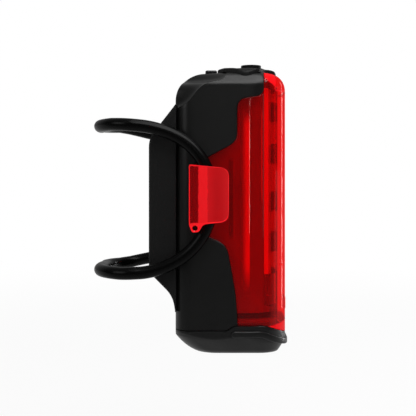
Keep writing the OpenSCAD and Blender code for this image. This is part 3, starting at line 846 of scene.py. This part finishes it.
shell_points, out_no, in_no = wall(shell_depth, SHELL_T, SHELL_END)
top, lip = out_no[0], N_LIP - 1
faces = quads(out_no) + quads(in_no)
faces += quads(np.stack([out_no[-1], in_no[-1]]))
for end in (0, -1):
    faces += quads(np.stack([out_no[:, end], in_no[:, end]], axis=1))
faces.append(top[lip:-lip].tolist())
faces += [[top[k], top[k + 1], top[-2 - k], top[-1 - k]] for k in range(lip)]
faces.append([top[0], in_no[0, 0], in_no[0, -1], top[-1]])
faces.append(in_no[0].tolist())
shell = make_piece("shell", shell_points, faces, BLACK_SHELL, 60)

# %% Lens
BUMP_W, BUMP_H, BUMP_Z, BUMP_SIDES = 6.0, 3.2, -26.2, 48
BUMP_STEPS = [(-0.1, 1.0), (LENS_BUMP - 0.1, 1.0), (LENS_BUMP - 0.03, 0.985), (LENS_BUMP, 0.95)]
lens_points, out_no, in_no = wall(lens_depth, WALL_T, -1)
faces = quads(closed(out_no)) + quads(closed(in_no))
inside_faces = range(len(faces) // 2, len(faces))
faces += quads(closed(np.stack([out_no[-1], in_no[-1]])))
middle = COLUMNS - 2
left, right = out_no[0, middle::-1].tolist(), out_no[0, middle:].tolist()
first, last = SHELL_END - 1, SHELL_END + N_LIP - 1
faces.append(left[first:0:-1] + right[: first + 1])
faces += [[right[k], right[k + 1], left[k + 1], left[k]] for k in range(first, last)]
faces.append(right[last:] + left[: last - 1 : -1])
faces.append(in_no[0].tolist())
bump = boxed(circle(0, 0, 1, BUMP_SIDES), 0.25) * (BUMP_W / 2, BUMP_H / 2)
bump_rows = [np.insert(bump * scale + (0, BUMP_Z), 0, REAR + x, axis=1) for x, scale in BUMP_STEPS]
lens_mesh = joined([(lens_points, faces), solid(bump_rows)])
lens = make_piece("lens", *lens_mesh, RED_LENS, 60, RED_INSIDE, inside_faces)

# %% [markdown]
# ## Hooks
#
# Each hook is a thick red plate that stands off the flank on a short wall. The cord lies behind the
# plate and pulls against that wall. A lug under the plate has an eye for a safety cord. A flat curve
# with a hole, an extrusion and a bevel gives the plate and its rounded rim in one step.


# %% Plates from curves
def inset(outline, by):
    """A closed outline moved inwards."""
    along = np.roll(outline, -1, axis=0) - np.roll(outline, 1, axis=0)
    inward = unit(pairs(-along[:, 1], along[:, 0]))
    x, z = outline.T
    turning = np.sign((x * np.roll(z, -1) - np.roll(x, -1) * z).sum())
    return outline + inward * by * turning


def rounded_loop(corners):
    """A closed outline from corners, each with the reach of its rounding."""
    places = [np.asarray(p, float) for p, _ in corners]
    seam = (places[-1] + places[0]) / 2
    return rounded_line([seam, *places, seam], [r for _, r in corners])[:-1]


def add_loop(curve, points):
    """Adds a closed line through points in millimetres to a curve."""
    spline = curve.splines.new("POLY")
    spline.points.add(len(points) - 1)
    spline.points.foreach_set("co", np.column_stack([points * MM, np.ones(len(points))]).ravel())
    spline.use_cyclic_u = True


def as_mesh(thing):
    """The mesh that an object shows. The object itself goes."""
    seen = thing.evaluated_get(bpy.context.evaluated_depsgraph_get())
    mesh = bpy.data.meshes.new_from_object(seen)
    bpy.data.objects.remove(thing)
    return mesh


def flat_plate(name, outlines, thick, rim, y):
    """Points and faces of a plate round a level y, with a rounded rim, from closed outlines in x and
    z. Those after the first are holes."""
    drawing = bpy.data.curves.new(name, "CURVE")
    drawing.dimensions = "2D"
    drawing.fill_mode = "BOTH"
    drawing.extrude = (thick / 2 - rim) * MM
    drawing.bevel_depth = rim * MM
    drawing.bevel_resolution = 4
    for number, outline in enumerate(outlines):
        add_loop(drawing, at_height(inset(outline, -rim if number else rim), 0.0))
    mesh = as_mesh(placed(name, drawing))
    points = np.array([v.co for v in mesh.vertices], float)[:, [0, 2, 1]] / MM + (0, y, 0)
    faces = [list(p.vertices) for p in mesh.polygons]
    bpy.data.meshes.remove(mesh)
    return points, faces


# %% Hooks
mounts = {mount["name"]: mount for mount in frame["record"]["mounts"]}
eye = mounts["lanyard_eye_left"]
EYE_X, _, EYE_Z = (v / MM for v in eye["pos_m"])
EYE_R, EYE_SIDES = eye["dims"]["r_mm"], 28
HOOK_T, HOOK_RIM = 1.6, 0.25
HOOK_Y = lens_high[1] - HOOK_T / 2
HOOK_OUTLINE = [
    ((HOOK_X, HOOK_TOP + 0.3), 0.9),
    ((HOOK_END, HOOK_TOP - 0.7), 2.6),
    ((HOOK_END - 0.1, HOOK_FOOT + 0.7), 2.4),
    ((EYE_X + 2.2, HOOK_FOOT), 0.7),
    ((EYE_X + 1.1, EYE_Z - 1.3), 0.9),
    ((EYE_X - 0.9, EYE_Z - 1.3), 0.7),
    ((HOOK_X, EYE_Z + 0.7), 0.7),
]
strap_low, strap_high = node_span("strap_ring")
CORD_T, CORD_PLAY = 3.0, 0.25
HOOK_MID = (strap_low[2] + strap_high[2]) / 2
BOW_R = (strap_high[2] - strap_low[2] - CORD_T) / 2
BOW_X = strap_high[0] - CORD_T / 2 - BOW_R
ROOT_X, ROOT_HALF, ROOT_RIM = HOOK_X + 2.3, 5.6, 0.2
ROOT_Y = HALF_W - 0.4
ROOT_SPAN = HOOK_Y - ROOT_Y

hook_outlines = [rounded_loop(HOOK_OUTLINE), circle(EYE_X, EYE_Z, EYE_R, EYE_SIDES)]
bearing = BOW_R - CORD_T / 2 - CORD_PLAY
reach = math.asin(ROOT_HALF / bearing)
root_arc = arc(BOW_X, HOOK_MID, bearing, bearing, np.linspace(-reach, reach, 15))
root_line = np.vstack([root_arc, pairs(ROOT_X, [HOOK_MID + ROOT_HALF, HOOK_MID - ROOT_HALF])])
hook_parts = [
    flat_plate("plate", hook_outlines, HOOK_T, HOOK_RIM, HOOK_Y),
    flat_plate("root", [root_line], ROOT_SPAN, ROOT_RIM, ROOT_Y + ROOT_SPAN / 2),
]
hook_parts += [(points * (1, -1, 1), faces) for points, faces in hook_parts]
hooks = make_piece("hooks", *joined(hook_parts), RED_HOOK, 50)

# %% [markdown]
# ## Strap
#
# The strap is one moulded rubber ring. It hangs in both hooks in an upright bow and turns inwards at
# the front, above and below, to go round the seatpost. Small tables bend the loops up and down as in
# the picture. A sweep in Geometry Nodes turns the path into a round cord: the path is the input,
# thickness and number of sides are inputs too.

# %% Path of the strap
BOW_Y = strap_high[1] - CORD_T / 2
TURN_R = 9.5
TURN_X, TURN_Y = strap_low[0] + CORD_T / 2 + TURN_R + 0.4, BOW_Y - TURN_R
PATH_STEP, FAR_BLEND = 0.6, 5.0
LOOP_TOP = [
    (-7, -0.1), (-4.8, 0.12), (-1.7, 0.32), (0.9, 0.25), (3.4, 0.1), (5.9, -0.14),
    (8.4, -0.36), (11, -0.48), (14, -0.42), (17, -0.22), (21, 0),
]
LOOP_FOOT = [
    (-7, -0.3), (-4.8, -0.5), (-1.7, -0.6), (0.9, -0.68), (3.4, -0.6), (5.9, -0.47),
    (8.4, -0.28), (11, -0.12), (15, 0),
]
FAR_CLOSER = [
    (-7, -0.2), (-5, -0.5), (-2, -0.47), (0.8, -0.1), (3.7, 0.38), (6.5, 0.8), (11, 0.65), (16, 0),
]


def bend(centre, first, second, turn):
    """Points round a centre in space, from two directions at right angles."""
    return np.array(centre) + np.outer(np.cos(turn), first) + np.outer(np.sin(turn), second)


half_turn = np.linspace(np.pi / 2, -np.pi / 2, 90)
quarter = np.linspace(0, np.pi / 2, 24)
path = []
for side in (1, -1):
    level, forward, across = HOOK_MID - side * BOW_R, (-TURN_R, 0, 0), side * TURN_R
    path += [
        bend((BOW_X, side * BOW_Y, HOOK_MID), (BOW_R, 0, 0), (0, 0, BOW_R), half_turn * side),
        bend((TURN_X, side * TURN_Y, level), (0, across, 0), forward, quarter),
        bend((TURN_X, -side * TURN_Y, level), forward, (0, -across, 0), quarter),
    ]
path = spaced(np.vstack([*path, path[0][:1]]), PATH_STEP)[:-1]
upper = np.interp(path[:, 0], *zip(*LOOP_TOP))
lower = np.interp(path[:, 0], *zip(*LOOP_FOOT))
closer = ease(-FAR_BLEND, FAR_BLEND, path[:, 1]) * np.interp(path[:, 0], *zip(*FAR_CLOSER))
path[:, 2] += np.where(path[:, 2] > HOOK_MID, upper - closer, lower + closer)
print(f"strap: {run_along(np.vstack([path, path[:1]]))[-1]:.0f} mm round")

# %% Sweep of the strap
CORD_SWELL, CORD_SIDES = 0.25, 28


def sweep_tree():
    """A node group that sweeps a round section along the curve that it gets, and the keys of its
    inputs."""
    tree = bpy.data.node_groups.new("swept_cord", "GeometryNodeTree")
    sockets = {}
    for name, kind in (
        ("Path", "NodeSocketGeometry"),
        ("Thickness", "NodeSocketFloat"),
        ("Sides", "NodeSocketInt"),
        ("Finish", "NodeSocketMaterial"),
    ):
        sockets[name] = tree.interface.new_socket(name, in_out="INPUT", socket_type=kind).identifier
    tree.interface.new_socket("Cord", in_out="OUTPUT", socket_type="NodeSocketGeometry")
    wire = Wire(tree)
    given = wire.node("NodeGroupInput")
    radius = given.also("Thickness") * 0.5
    section = wire.node(
        "GeometryNodeCurvePrimitiveCircle", {"Resolution": given.also("Sides"), "Radius": radius}
    )
    cord = {"Curve": given.also("Path"), "Profile Curve": section}
    cord = wire.node("GeometryNodeCurveToMesh", cord)
    cord = wire.node("GeometryNodeSetShadeSmooth", {"Geometry": cord})
    cord = wire.node("GeometryNodeRealizeInstances", {"Geometry": cord})
    painted = {"Geometry": cord, "Material": given.also("Finish")}
    wire.node("NodeGroupOutput", {"Cord": wire.node("GeometryNodeSetMaterial", painted)})
    return tree, sockets


def swept(name, points, thickness, sides, finish):
    """A closed cord along points, as a plain mesh object."""
    line = bpy.data.curves.new(name + "_path", "CURVE")
    line.dimensions = "3D"
    add_loop(line, points)
    carrier = placed(name + "_path", line)
    modifier = carrier.modifiers.new("sweep", "NODES")
    modifier.node_group, sockets = sweep_tree()
    modifier[sockets["Thickness"]] = thickness * MM
    modifier[sockets["Sides"]] = sides
    modifier[sockets["Finish"]] = finish
    piece = placed(name, as_mesh(carrier))
    print(f"{name}: {len(piece.data.polygons)} faces")
    return piece


strap = swept("strap", path, CORD_T + CORD_SWELL, CORD_SIDES, BLACK_CORD)

# %% [markdown]
# ## Seatpost pad
#
# The pad is a block of rubber with a saddle for the seatpost and two horns that hold it. Its rows
# are level sections: the saddle's arc from the middle to the horn, the rounded tip, the flank, and
# back along the shell. Its sides reach just past the shell's front, and the shell's round corner
# beside them leaves the dark groove that the picture shows.

# %% Pad
pad_low, pad_high = node_span("seatpost_pad")
post = mounts["seatpost_saddle"]["dims"]
POST_R, SADDLE_END, SADDLE_FLARE = post["r_mm"], post["length_mm"] / 2, 0.5
HORN_X = pad_low[0] + 0.2
PAD_W = pad_high[1]
PAD_BACK, PAD_SIDE = FRONT - 0.02, FRONT + 0.3
PAD_WEB, WEB_MIN, PAD_END = 0.3, 0.03, 3.0
TIP_R, TIP_CLEAR = 0.7, 0.25
HEEL_X, HEEL_Y, BACK_IN = 0.2, 0.4, 1.7
HORN = [(PAD_BACK, pad_high[2]), (HORN_X, 17.3), (HORN_X, -17.0), (14.05, -23.2), (PAD_BACK, pad_low[2])]
horn_line = rounded_line(HORN, [2.2, 2.0, 2.6])
horn_x, horn_z = horn_line[np.argsort(horn_line[:, 1])].T


def pad_section(z):
    """One half of the pad's outline at a height, from the middle of the saddle round to the shell."""
    web = PAD_WEB * ease(0, PAD_END, min(pad_high[2] - z, z - pad_low[2])) + WEB_MIN
    tip_x = min(np.interp(z, horn_z, horn_x), PAD_BACK - web)
    tip_r = min(TIP_R, PAD_SIDE - TIP_CLEAR - tip_x)
    land_y, side_x = PAD_W - tip_r, PAD_SIDE - HEEL_X
    radius = POST_R + SADDLE_FLARE * max(abs(z) - SADDLE_END, 0)
    radius = min(radius, math.hypot(tip_x, land_y - 0.02))
    saddle_y = math.sqrt(max(radius**2 - tip_x**2, 0.01))
    y = saddle_y * np.linspace(0, 1, 25)
    turn = np.linspace(0, np.pi / 2, 7)[1:]
    saddle = pairs(np.clip(np.sqrt(radius**2 - y**2), tip_x, PAD_BACK - web), y)
    land = pairs(tip_x, saddle_y + (land_y - saddle_y) * np.linspace(0, 1, 9)[1:])
    tip = arc(tip_x + tip_r, land_y, -tip_r, tip_r, turn)
    flank = pairs(np.linspace(tip_x + tip_r, side_x, 9)[1:], PAD_W)
    heel = arc(side_x, PAD_W - HEEL_Y, HEEL_X, HEEL_Y, np.pi / 2 - turn)
    back = pairs(PAD_BACK, (PAD_W - BACK_IN) * np.linspace(1, 0, 6))
    return np.vstack([saddle, land, tip, flank, heel, back])


steps = np.linspace(0, 1, 110)
pad_z = pad_low[2] + (pad_high[2] - pad_low[2]) * (steps - 0.06 * np.sin(2 * np.pi * steps))
pad_rows = np.array([at_height(pad_section(z), z) for z in pad_z])
pad = make_piece("pad", *solid(whole(pad_rows)), BLACK_PAD, 50)

# %% [markdown]
# ## End cap
#
# The cap closes the casing from below with a long curved nose at the front, a short heel at the rear
# and flanks that lean in to a rounded bottom edge. Its rows start at the plug that fits in the
# casing, go out along the seam and then down to the flat bottom. A raised rib to pull it by runs
# round the rear, below the seam.

# %% Cap
CAP_Z = node_span("end_cap")[0][2]
CAP_PROUD, SEAM_GAP, SEAM_ROUND = 0.25, 0.2, 0.15
NOSE = [(FRONT, CAP_Z + 5.1), (FRONT + 2.3, CAP_Z + 1.6), (FRONT + 5.6, CAP_Z)]
HEEL = [(REAR, CAP_Z + 3.05), (REAR - 1.8, CAP_Z + 0.5), (REAR - 2.0, CAP_Z)]
BEVEL, BEVEL_BEND = 3.6, 1.05
BOTTOM_R, BOTTOM_FROM = 1.3, 0.75
NOSE_R, HEEL_R = 5.2, 5.2
SHOULDER_X = [FRONT, FRONT + 2.6, FRONT + 6.4, FRONT + 10.2, FRONT + 13.5, FRONT + 15.5, REAR]
SHOULDER_Z = [-32.3, -32.4, -33.6, -34.1, -33.7, -33.4, -34.4]
SHOULDER_SOFT = 21
PLUG_INSET, PLUG_TOP = 2.2, SEAM_FRONT + 1.0


def rounded_half(front, rear, half, front_r, rear_r):
    """Half a rounded rectangle, from the middle of the front to the middle of the rear."""
    turn = np.linspace(0, np.pi / 2, 12)
    nose = pairs(front, np.linspace(0, half - front_r, 7)[:6])
    near = arc(front + front_r, half - front_r, -front_r, front_r, turn)
    flank = pairs(np.linspace(front + front_r, rear - rear_r, 26)[1:-1], half)
    far = arc(rear - rear_r, half - rear_r, rear_r, rear_r, turn[::-1])
    tail = pairs(rear, np.linspace(half - rear_r, 0, 7)[1:])
    return np.vstack([nose, near, flank, far, tail])


def casing_half(back, wider):
    """Half of the casing's outline, its ends set back by so much and its flanks wider by so much."""
    return rounded_half(FRONT + back, REAR - back, HALF_W + wider, CORNER_R + wider, REAR_R + wider)


nose_line, heel_line = (bezier(line, np.linspace(0, 1, 60)) for line in (NOSE, HEEL))
plug_outline, outline = casing_half(PLUG_INSET, -PLUG_INSET), casing_half(0, CAP_PROUD)
seam = seam_height(outline[:, 0]) - SEAM_GAP
samples = np.linspace(FRONT - 5, REAR + 5, 240)
soft = np.ones(SHOULDER_SOFT) / SHOULDER_SOFT
soft_shoulder = np.convolve(np.interp(samples, SHOULDER_X, SHOULDER_Z), soft, "same")
shoulder = np.interp(outline[:, 0], samples, soft_shoulder)
cap_rows = [
    at_height(plug_outline, PLUG_TOP),
    at_height(plug_outline, seam_height(plug_outline[:, 0]) - SEAM_GAP),
    at_height(casing_half(0, 0), seam),
]
for t in np.linspace(0, 1, 7):
    level = seam - SEAM_ROUND + (shoulder - seam + SEAM_ROUND) * t
    cap_rows.append(at_height(outline, level))
for t in np.arange(1, 27) / 26:
    level = shoulder + (CAP_Z - shoulder) * t
    front = np.interp(-level[0], -nose_line[:, 1], nose_line[:, 0])
    rear = np.interp(-level[-1], -heel_line[:, 1], heel_line[:, 0])
    turn_in = max(0, (t - BOTTOM_FROM) / (1 - BOTTOM_FROM))
    round_off = BOTTOM_R * (1 - math.sqrt(1 - turn_in**2))
    half = HALF_W + CAP_PROUD - BEVEL * t**BEVEL_BEND - round_off
    nose_r = CORNER_R + CAP_PROUD + (NOSE_R - CORNER_R - CAP_PROUD) * t
    heel_r = REAR_R + CAP_PROUD + (HEEL_R - REAR_R - CAP_PROUD) * t
    cap_rows.append(at_height(rounded_half(front, rear, half, nose_r, heel_r), level))
cap_body = solid(whole(np.array(cap_rows)))
print(f"cap body: {len(cap_rows)} rows")

# %% Pull rib and socket plug
RIB_PROUD, RIB_H, RIB_STEP = 0.85, 1.6, 0.4
RIB_LEVELS = [
    (-14.5, -32.7), (-7.4, -32.7), (-6.2, -32.95), (-4.5, -33.75), (-2.5, -34.65), (0, -35.6),
]
rib_line = spaced(outline[outline[:, 0] >= REAR + RIB_LEVELS[0][0]], RIB_STEP)
rib_line = np.vstack([rib_line, rib_line[-2::-1] * (1, -1)])
rib_path = at_height(rib_line, np.interp(rib_line[:, 0] - REAR, *zip(*RIB_LEVELS)))
tangent = unit(np.gradient(rib_path, axis=0))
outward = at_height(pairs(tangent[:, 1], -tangent[:, 0]), 0.0)
outward *= np.sign((outward[:, :2] * (rib_line - [(FRONT + REAR) / 2, 0])).sum(axis=1))[:, None]
outward = unit(outward)
upward = np.cross(tangent, outward)
upward *= np.sign(upward[:, 2:])
rib_run = run_along(rib_path)
from_end = np.minimum(rib_run, rib_run[-1] - rib_run)
swell = np.sqrt(1 - (1 - np.clip(from_end / (RIB_H / 2), 0.02, 1)) ** 2)
turn = np.linspace(-np.pi, np.pi, 25)[:-1]
section_out = boxed(np.cos(turn), 0.35) * (RIB_PROUD - CAP_PROUD)
section_up = boxed(np.sin(turn), 0.5) * RIB_H / 2
rib = solid(
    rib_path[:, None]
    + outward[:, None] * section_out[None, :, None]
    + upward[:, None] * (section_up[None, :] * swell[:, None])[..., None]
)

usb_low, usb_high = node_span("usb_socket")
USB_X = (usb_low[0] + usb_high[0]) / 2
PLUG_HALF_X, PLUG_HALF_Y, PLUG_R, PLUG_HIGH = 1.53, 4.37, 1.4, -29.3
plug = whole(rounded_half(USB_X - PLUG_HALF_X, USB_X + PLUG_HALF_X, PLUG_HALF_Y, PLUG_R, PLUG_R))
plug = solid([at_height(plug, SEAM_FRONT), at_height(plug, PLUG_HIGH)])
cap = make_piece("cap", *joined([cap_body, rib, plug]), BLACK_CAP, 40)

# %% [markdown]
# ## Button, surround and indicator
#
# The soft surround is a skin that drapes over the top and its rounded edges, with a tongue to the
# rear. The button stands in it. Rays from the button's middle to the surround's outline give the
# skin, and a turned profile gives the button.

# %% Surround
surround_low, surround_high = node_span("button_surround")
button_low, button_high = node_span("power_button")
BUTTON_X = (button_low[0] + button_high[0]) / 2
BUTTON_R = (button_high[0] - button_low[0]) / 2
HOLE_R = BUTTON_R + 0.15
SURROUND_T, SKIN_LIFT = surround_high[2] - TOP, 0.02
SKIN_FRONT, SKIN_END, SKIN_W = surround_low[0], surround_high[0], surround_high[1] + 0.3
SKIN_RAYS = 180
SKIN_CORNERS = [
    (SKIN_END, 0), (SKIN_END, 5.0), (BUTTON_X + 3.6, 5.6), (BUTTON_X + 1.8, SKIN_W - 2.0),
    (BUTTON_X - 2.0, SKIN_W), (BUTTON_X - 5.3, SKIN_W - 2.0), (SKIN_FRONT, SKIN_W - 2.6),
    (SKIN_FRONT, 0),
]
SKIN_ROUNDS = [1.0, 1.2, 1.4, 1.8, 1.4, 0.7]
SKIN_PROFILE = (
    [(0.0, 0.0), (0.0, 0.75), (0.05, 1.0)]
    + [(0.16 * k, 1.0) for k in range(1, 6)]
    + [(0.96 + 0.04 * math.sin(a), 0.65 + 0.35 * math.cos(a)) for a in np.linspace(0, np.pi / 2, 6)]
    + [(1.0, 0.0)]
)


def top_height(x, y):
    """Height of the casing's top over a point."""
    levels = np.linspace(TOP, TOP - TOP_EDGE_R, 200)
    edge_y = HALF_W - drawn_in(levels, TOP_EDGE_R, EDGE_FLAT)
    back = np.clip(x - REAR + TOP_REAR_R, 0, TOP_REAR_R)
    return np.interp(np.abs(y), edge_y, levels) - (TOP_REAR_R - np.sqrt(TOP_REAR_R**2 - back**2))


turn = np.linspace(0, 2 * np.pi, SKIN_RAYS, endpoint=False)
rim_x, rim_y = (rounded_line(SKIN_CORNERS, SKIN_ROUNDS) - (BUTTON_X, 0)).T
rim_turn, rim_reach = np.arctan2(rim_y, rim_x), np.hypot(rim_y, rim_x)
rim = np.interp(np.minimum(turn, 2 * np.pi - turn), rim_turn, rim_reach)
columns = []
for share, rise in SKIN_PROFILE:
    ring = circle(BUTTON_X, 0, HOLE_R + (rim - HOLE_R) * share, SKIN_RAYS)
    lift = SKIN_LIFT + (SURROUND_T - SKIN_LIFT) * rise
    columns.append(at_height(ring, top_height(*ring.T) + lift))
skin_rows = np.stack(columns, axis=1)
index = numbered(skin_rows)
faces = quads(closed(np.vstack([index, index[:1]])))
surround = make_piece("surround", skin_rows.reshape(-1, 3), faces, BLACK_SILICONE, 50)

# %% Button and indicator
BUTTON_TOP, BUTTON_EDGE, BUTTON_SIDES = button_high[2], 0.15, 64
STEM_R, COLLAR_Z = 2.0, TOP + SURROUND_T - 0.2
BUTTON_PROFILE = (
    [(STEM_R, button_low[2]), (STEM_R, COLLAR_Z), (BUTTON_R, COLLAR_Z)]
    + [(BUTTON_R - back, BUTTON_TOP - drop) for back, drop in rounding(BUTTON_EDGE)]
    + [(BUTTON_R - 0.9, BUTTON_TOP - 0.02), (1.0, BUTTON_TOP - 0.12), (0.1, BUTTON_TOP - 0.14)]
)
button_rows = [at_height(circle(BUTTON_X, 0, r, BUTTON_SIDES), z) for r, z in BUTTON_PROFILE]
button = make_piece("button", *solid(button_rows), BLACK_BUTTON, 40)

indicator_low, indicator_high = node_span("indicator_window")
INDICATOR_ROUND, ROUND_MIN, INDICATOR_EDGE = 0.5, 0.08, 0.45
nub_x = (indicator_high[0] + indicator_low[0]) / 2
nub_l, nub_w, nub_h = (indicator_high - indicator_low) / (2, 2, 1)
nub_rows = []
for back, drop in [(0.0, nub_h)] + rounding(INDICATOR_EDGE):
    corner = max(INDICATOR_ROUND - back, ROUND_MIN)
    half = rounded_half(nub_x - nub_l + back, nub_x + nub_l - back, nub_w - back, corner, corner)
    nub_rows.append(at_height(whole(half), indicator_high[2] - drop))
indicator = make_piece("indicator", *solid(nub_rows), SMOKED, 50)

# %% [markdown]
# ## What is inside
#
# Cell, boards and chassis keep their CAD meshes and get finishes of their own. Much of this is only
# seen through the lens, so the board of the emitters is pale, and they and the chassis are grey.

# %% Finishes of the inner pieces
METAL = {"gloss": 0.5, "metal": 1.0}
INNER = {
    "chassis": moulded("chassis_grey", 0.27, 0.5, grain_mm=0.5),
    "seal_ring": moulded("seal_rubber", 0.03, 0.5),
    "chassis_screws": moulded("screw_steel", 0.5, 0.3, grain_mm=0.1, **METAL),
    "battery_cell": moulded(
        "cell_sleeve", (0.04, 0.16, 0.42), 0.3, gloss=0.5, grain_mm=1.0, relief=0.01
    ),
    "battery_tabs": moulded("tab_nickel", (0.6, 0.59, 0.56), 0.35, grain_mm=0.2, **METAL),
    "main_board": moulded("board_green", (0.03, 0.2, 0.06), 0.4, gloss=0.4, grain_mm=0.6),
    "board_components": moulded("chip_black", 0.02, 0.5, grain_mm=0.1),
    "board_header": moulded("pin_gold", (0.75, 0.58, 0.24), 0.25, grain_mm=0.2, **METAL),
    "led_board": moulded(
        "board_white", (0.93, 0.93, 0.91), 0.4, gloss=0.4, grain_mm=0.5, drift=0.05
    ),
    "led_emitters": moulded("emitter_package", (0.12, 0.12, 0.11), 0.4, gloss=0.4, grain_mm=0.2),
    "led_resin": moulded(
        "emitter_resin", (0.5, 0.35, 0.2), 0.15, gloss=0.5, grain_mm=0.8, relief=0.004
    ),
    "usb_socket": moulded("socket_steel", 0.6, 0.3, grain_mm=0.15, **METAL),
    "usb_tongue": moulded("tongue_black", 0.02, 0.5),
    "switch_body": moulded("switch_black", 0.03, 0.45),
    "switch_plunger": moulded("plunger_grey", 0.45, 0.45),
}
for name, finish in INNER.items():
    mesh = frame["nodes"][name].data
    mesh.materials.clear()
    mesh.materials.append(finish)
print(f"{len(INNER)} inner pieces painted")

# %% [markdown]
# ## Put together
#
# Each new piece rides on the body of the CAD node that it stands for. The strap is the exception: it
# stretches, so here it rides on no body, and its place is baked into its mesh.

# %% Ride and replace
for piece, node, body, slot in (
    (shell, "body_shell", "casing", "black_shell"),
    (lens, "lens_housing", "casing", "red_lens"),
    (hooks, "lens_housing", "casing", "red_lens"),
    (pad, "seatpost_pad", "casing", "pad_rubber"),
    (cap, "end_cap", "cap", "cap_black"),
    (surround, "button_surround", "casing", "surround_silicone"),
    (button, "power_button", "button", "button_silicone"),
    (indicator, "indicator_window", "casing", "indicator_smoke"),
):
    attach(piece, body)
    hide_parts(node)
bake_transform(strap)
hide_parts("strap_ring")

print("cad box", cad_bounds)
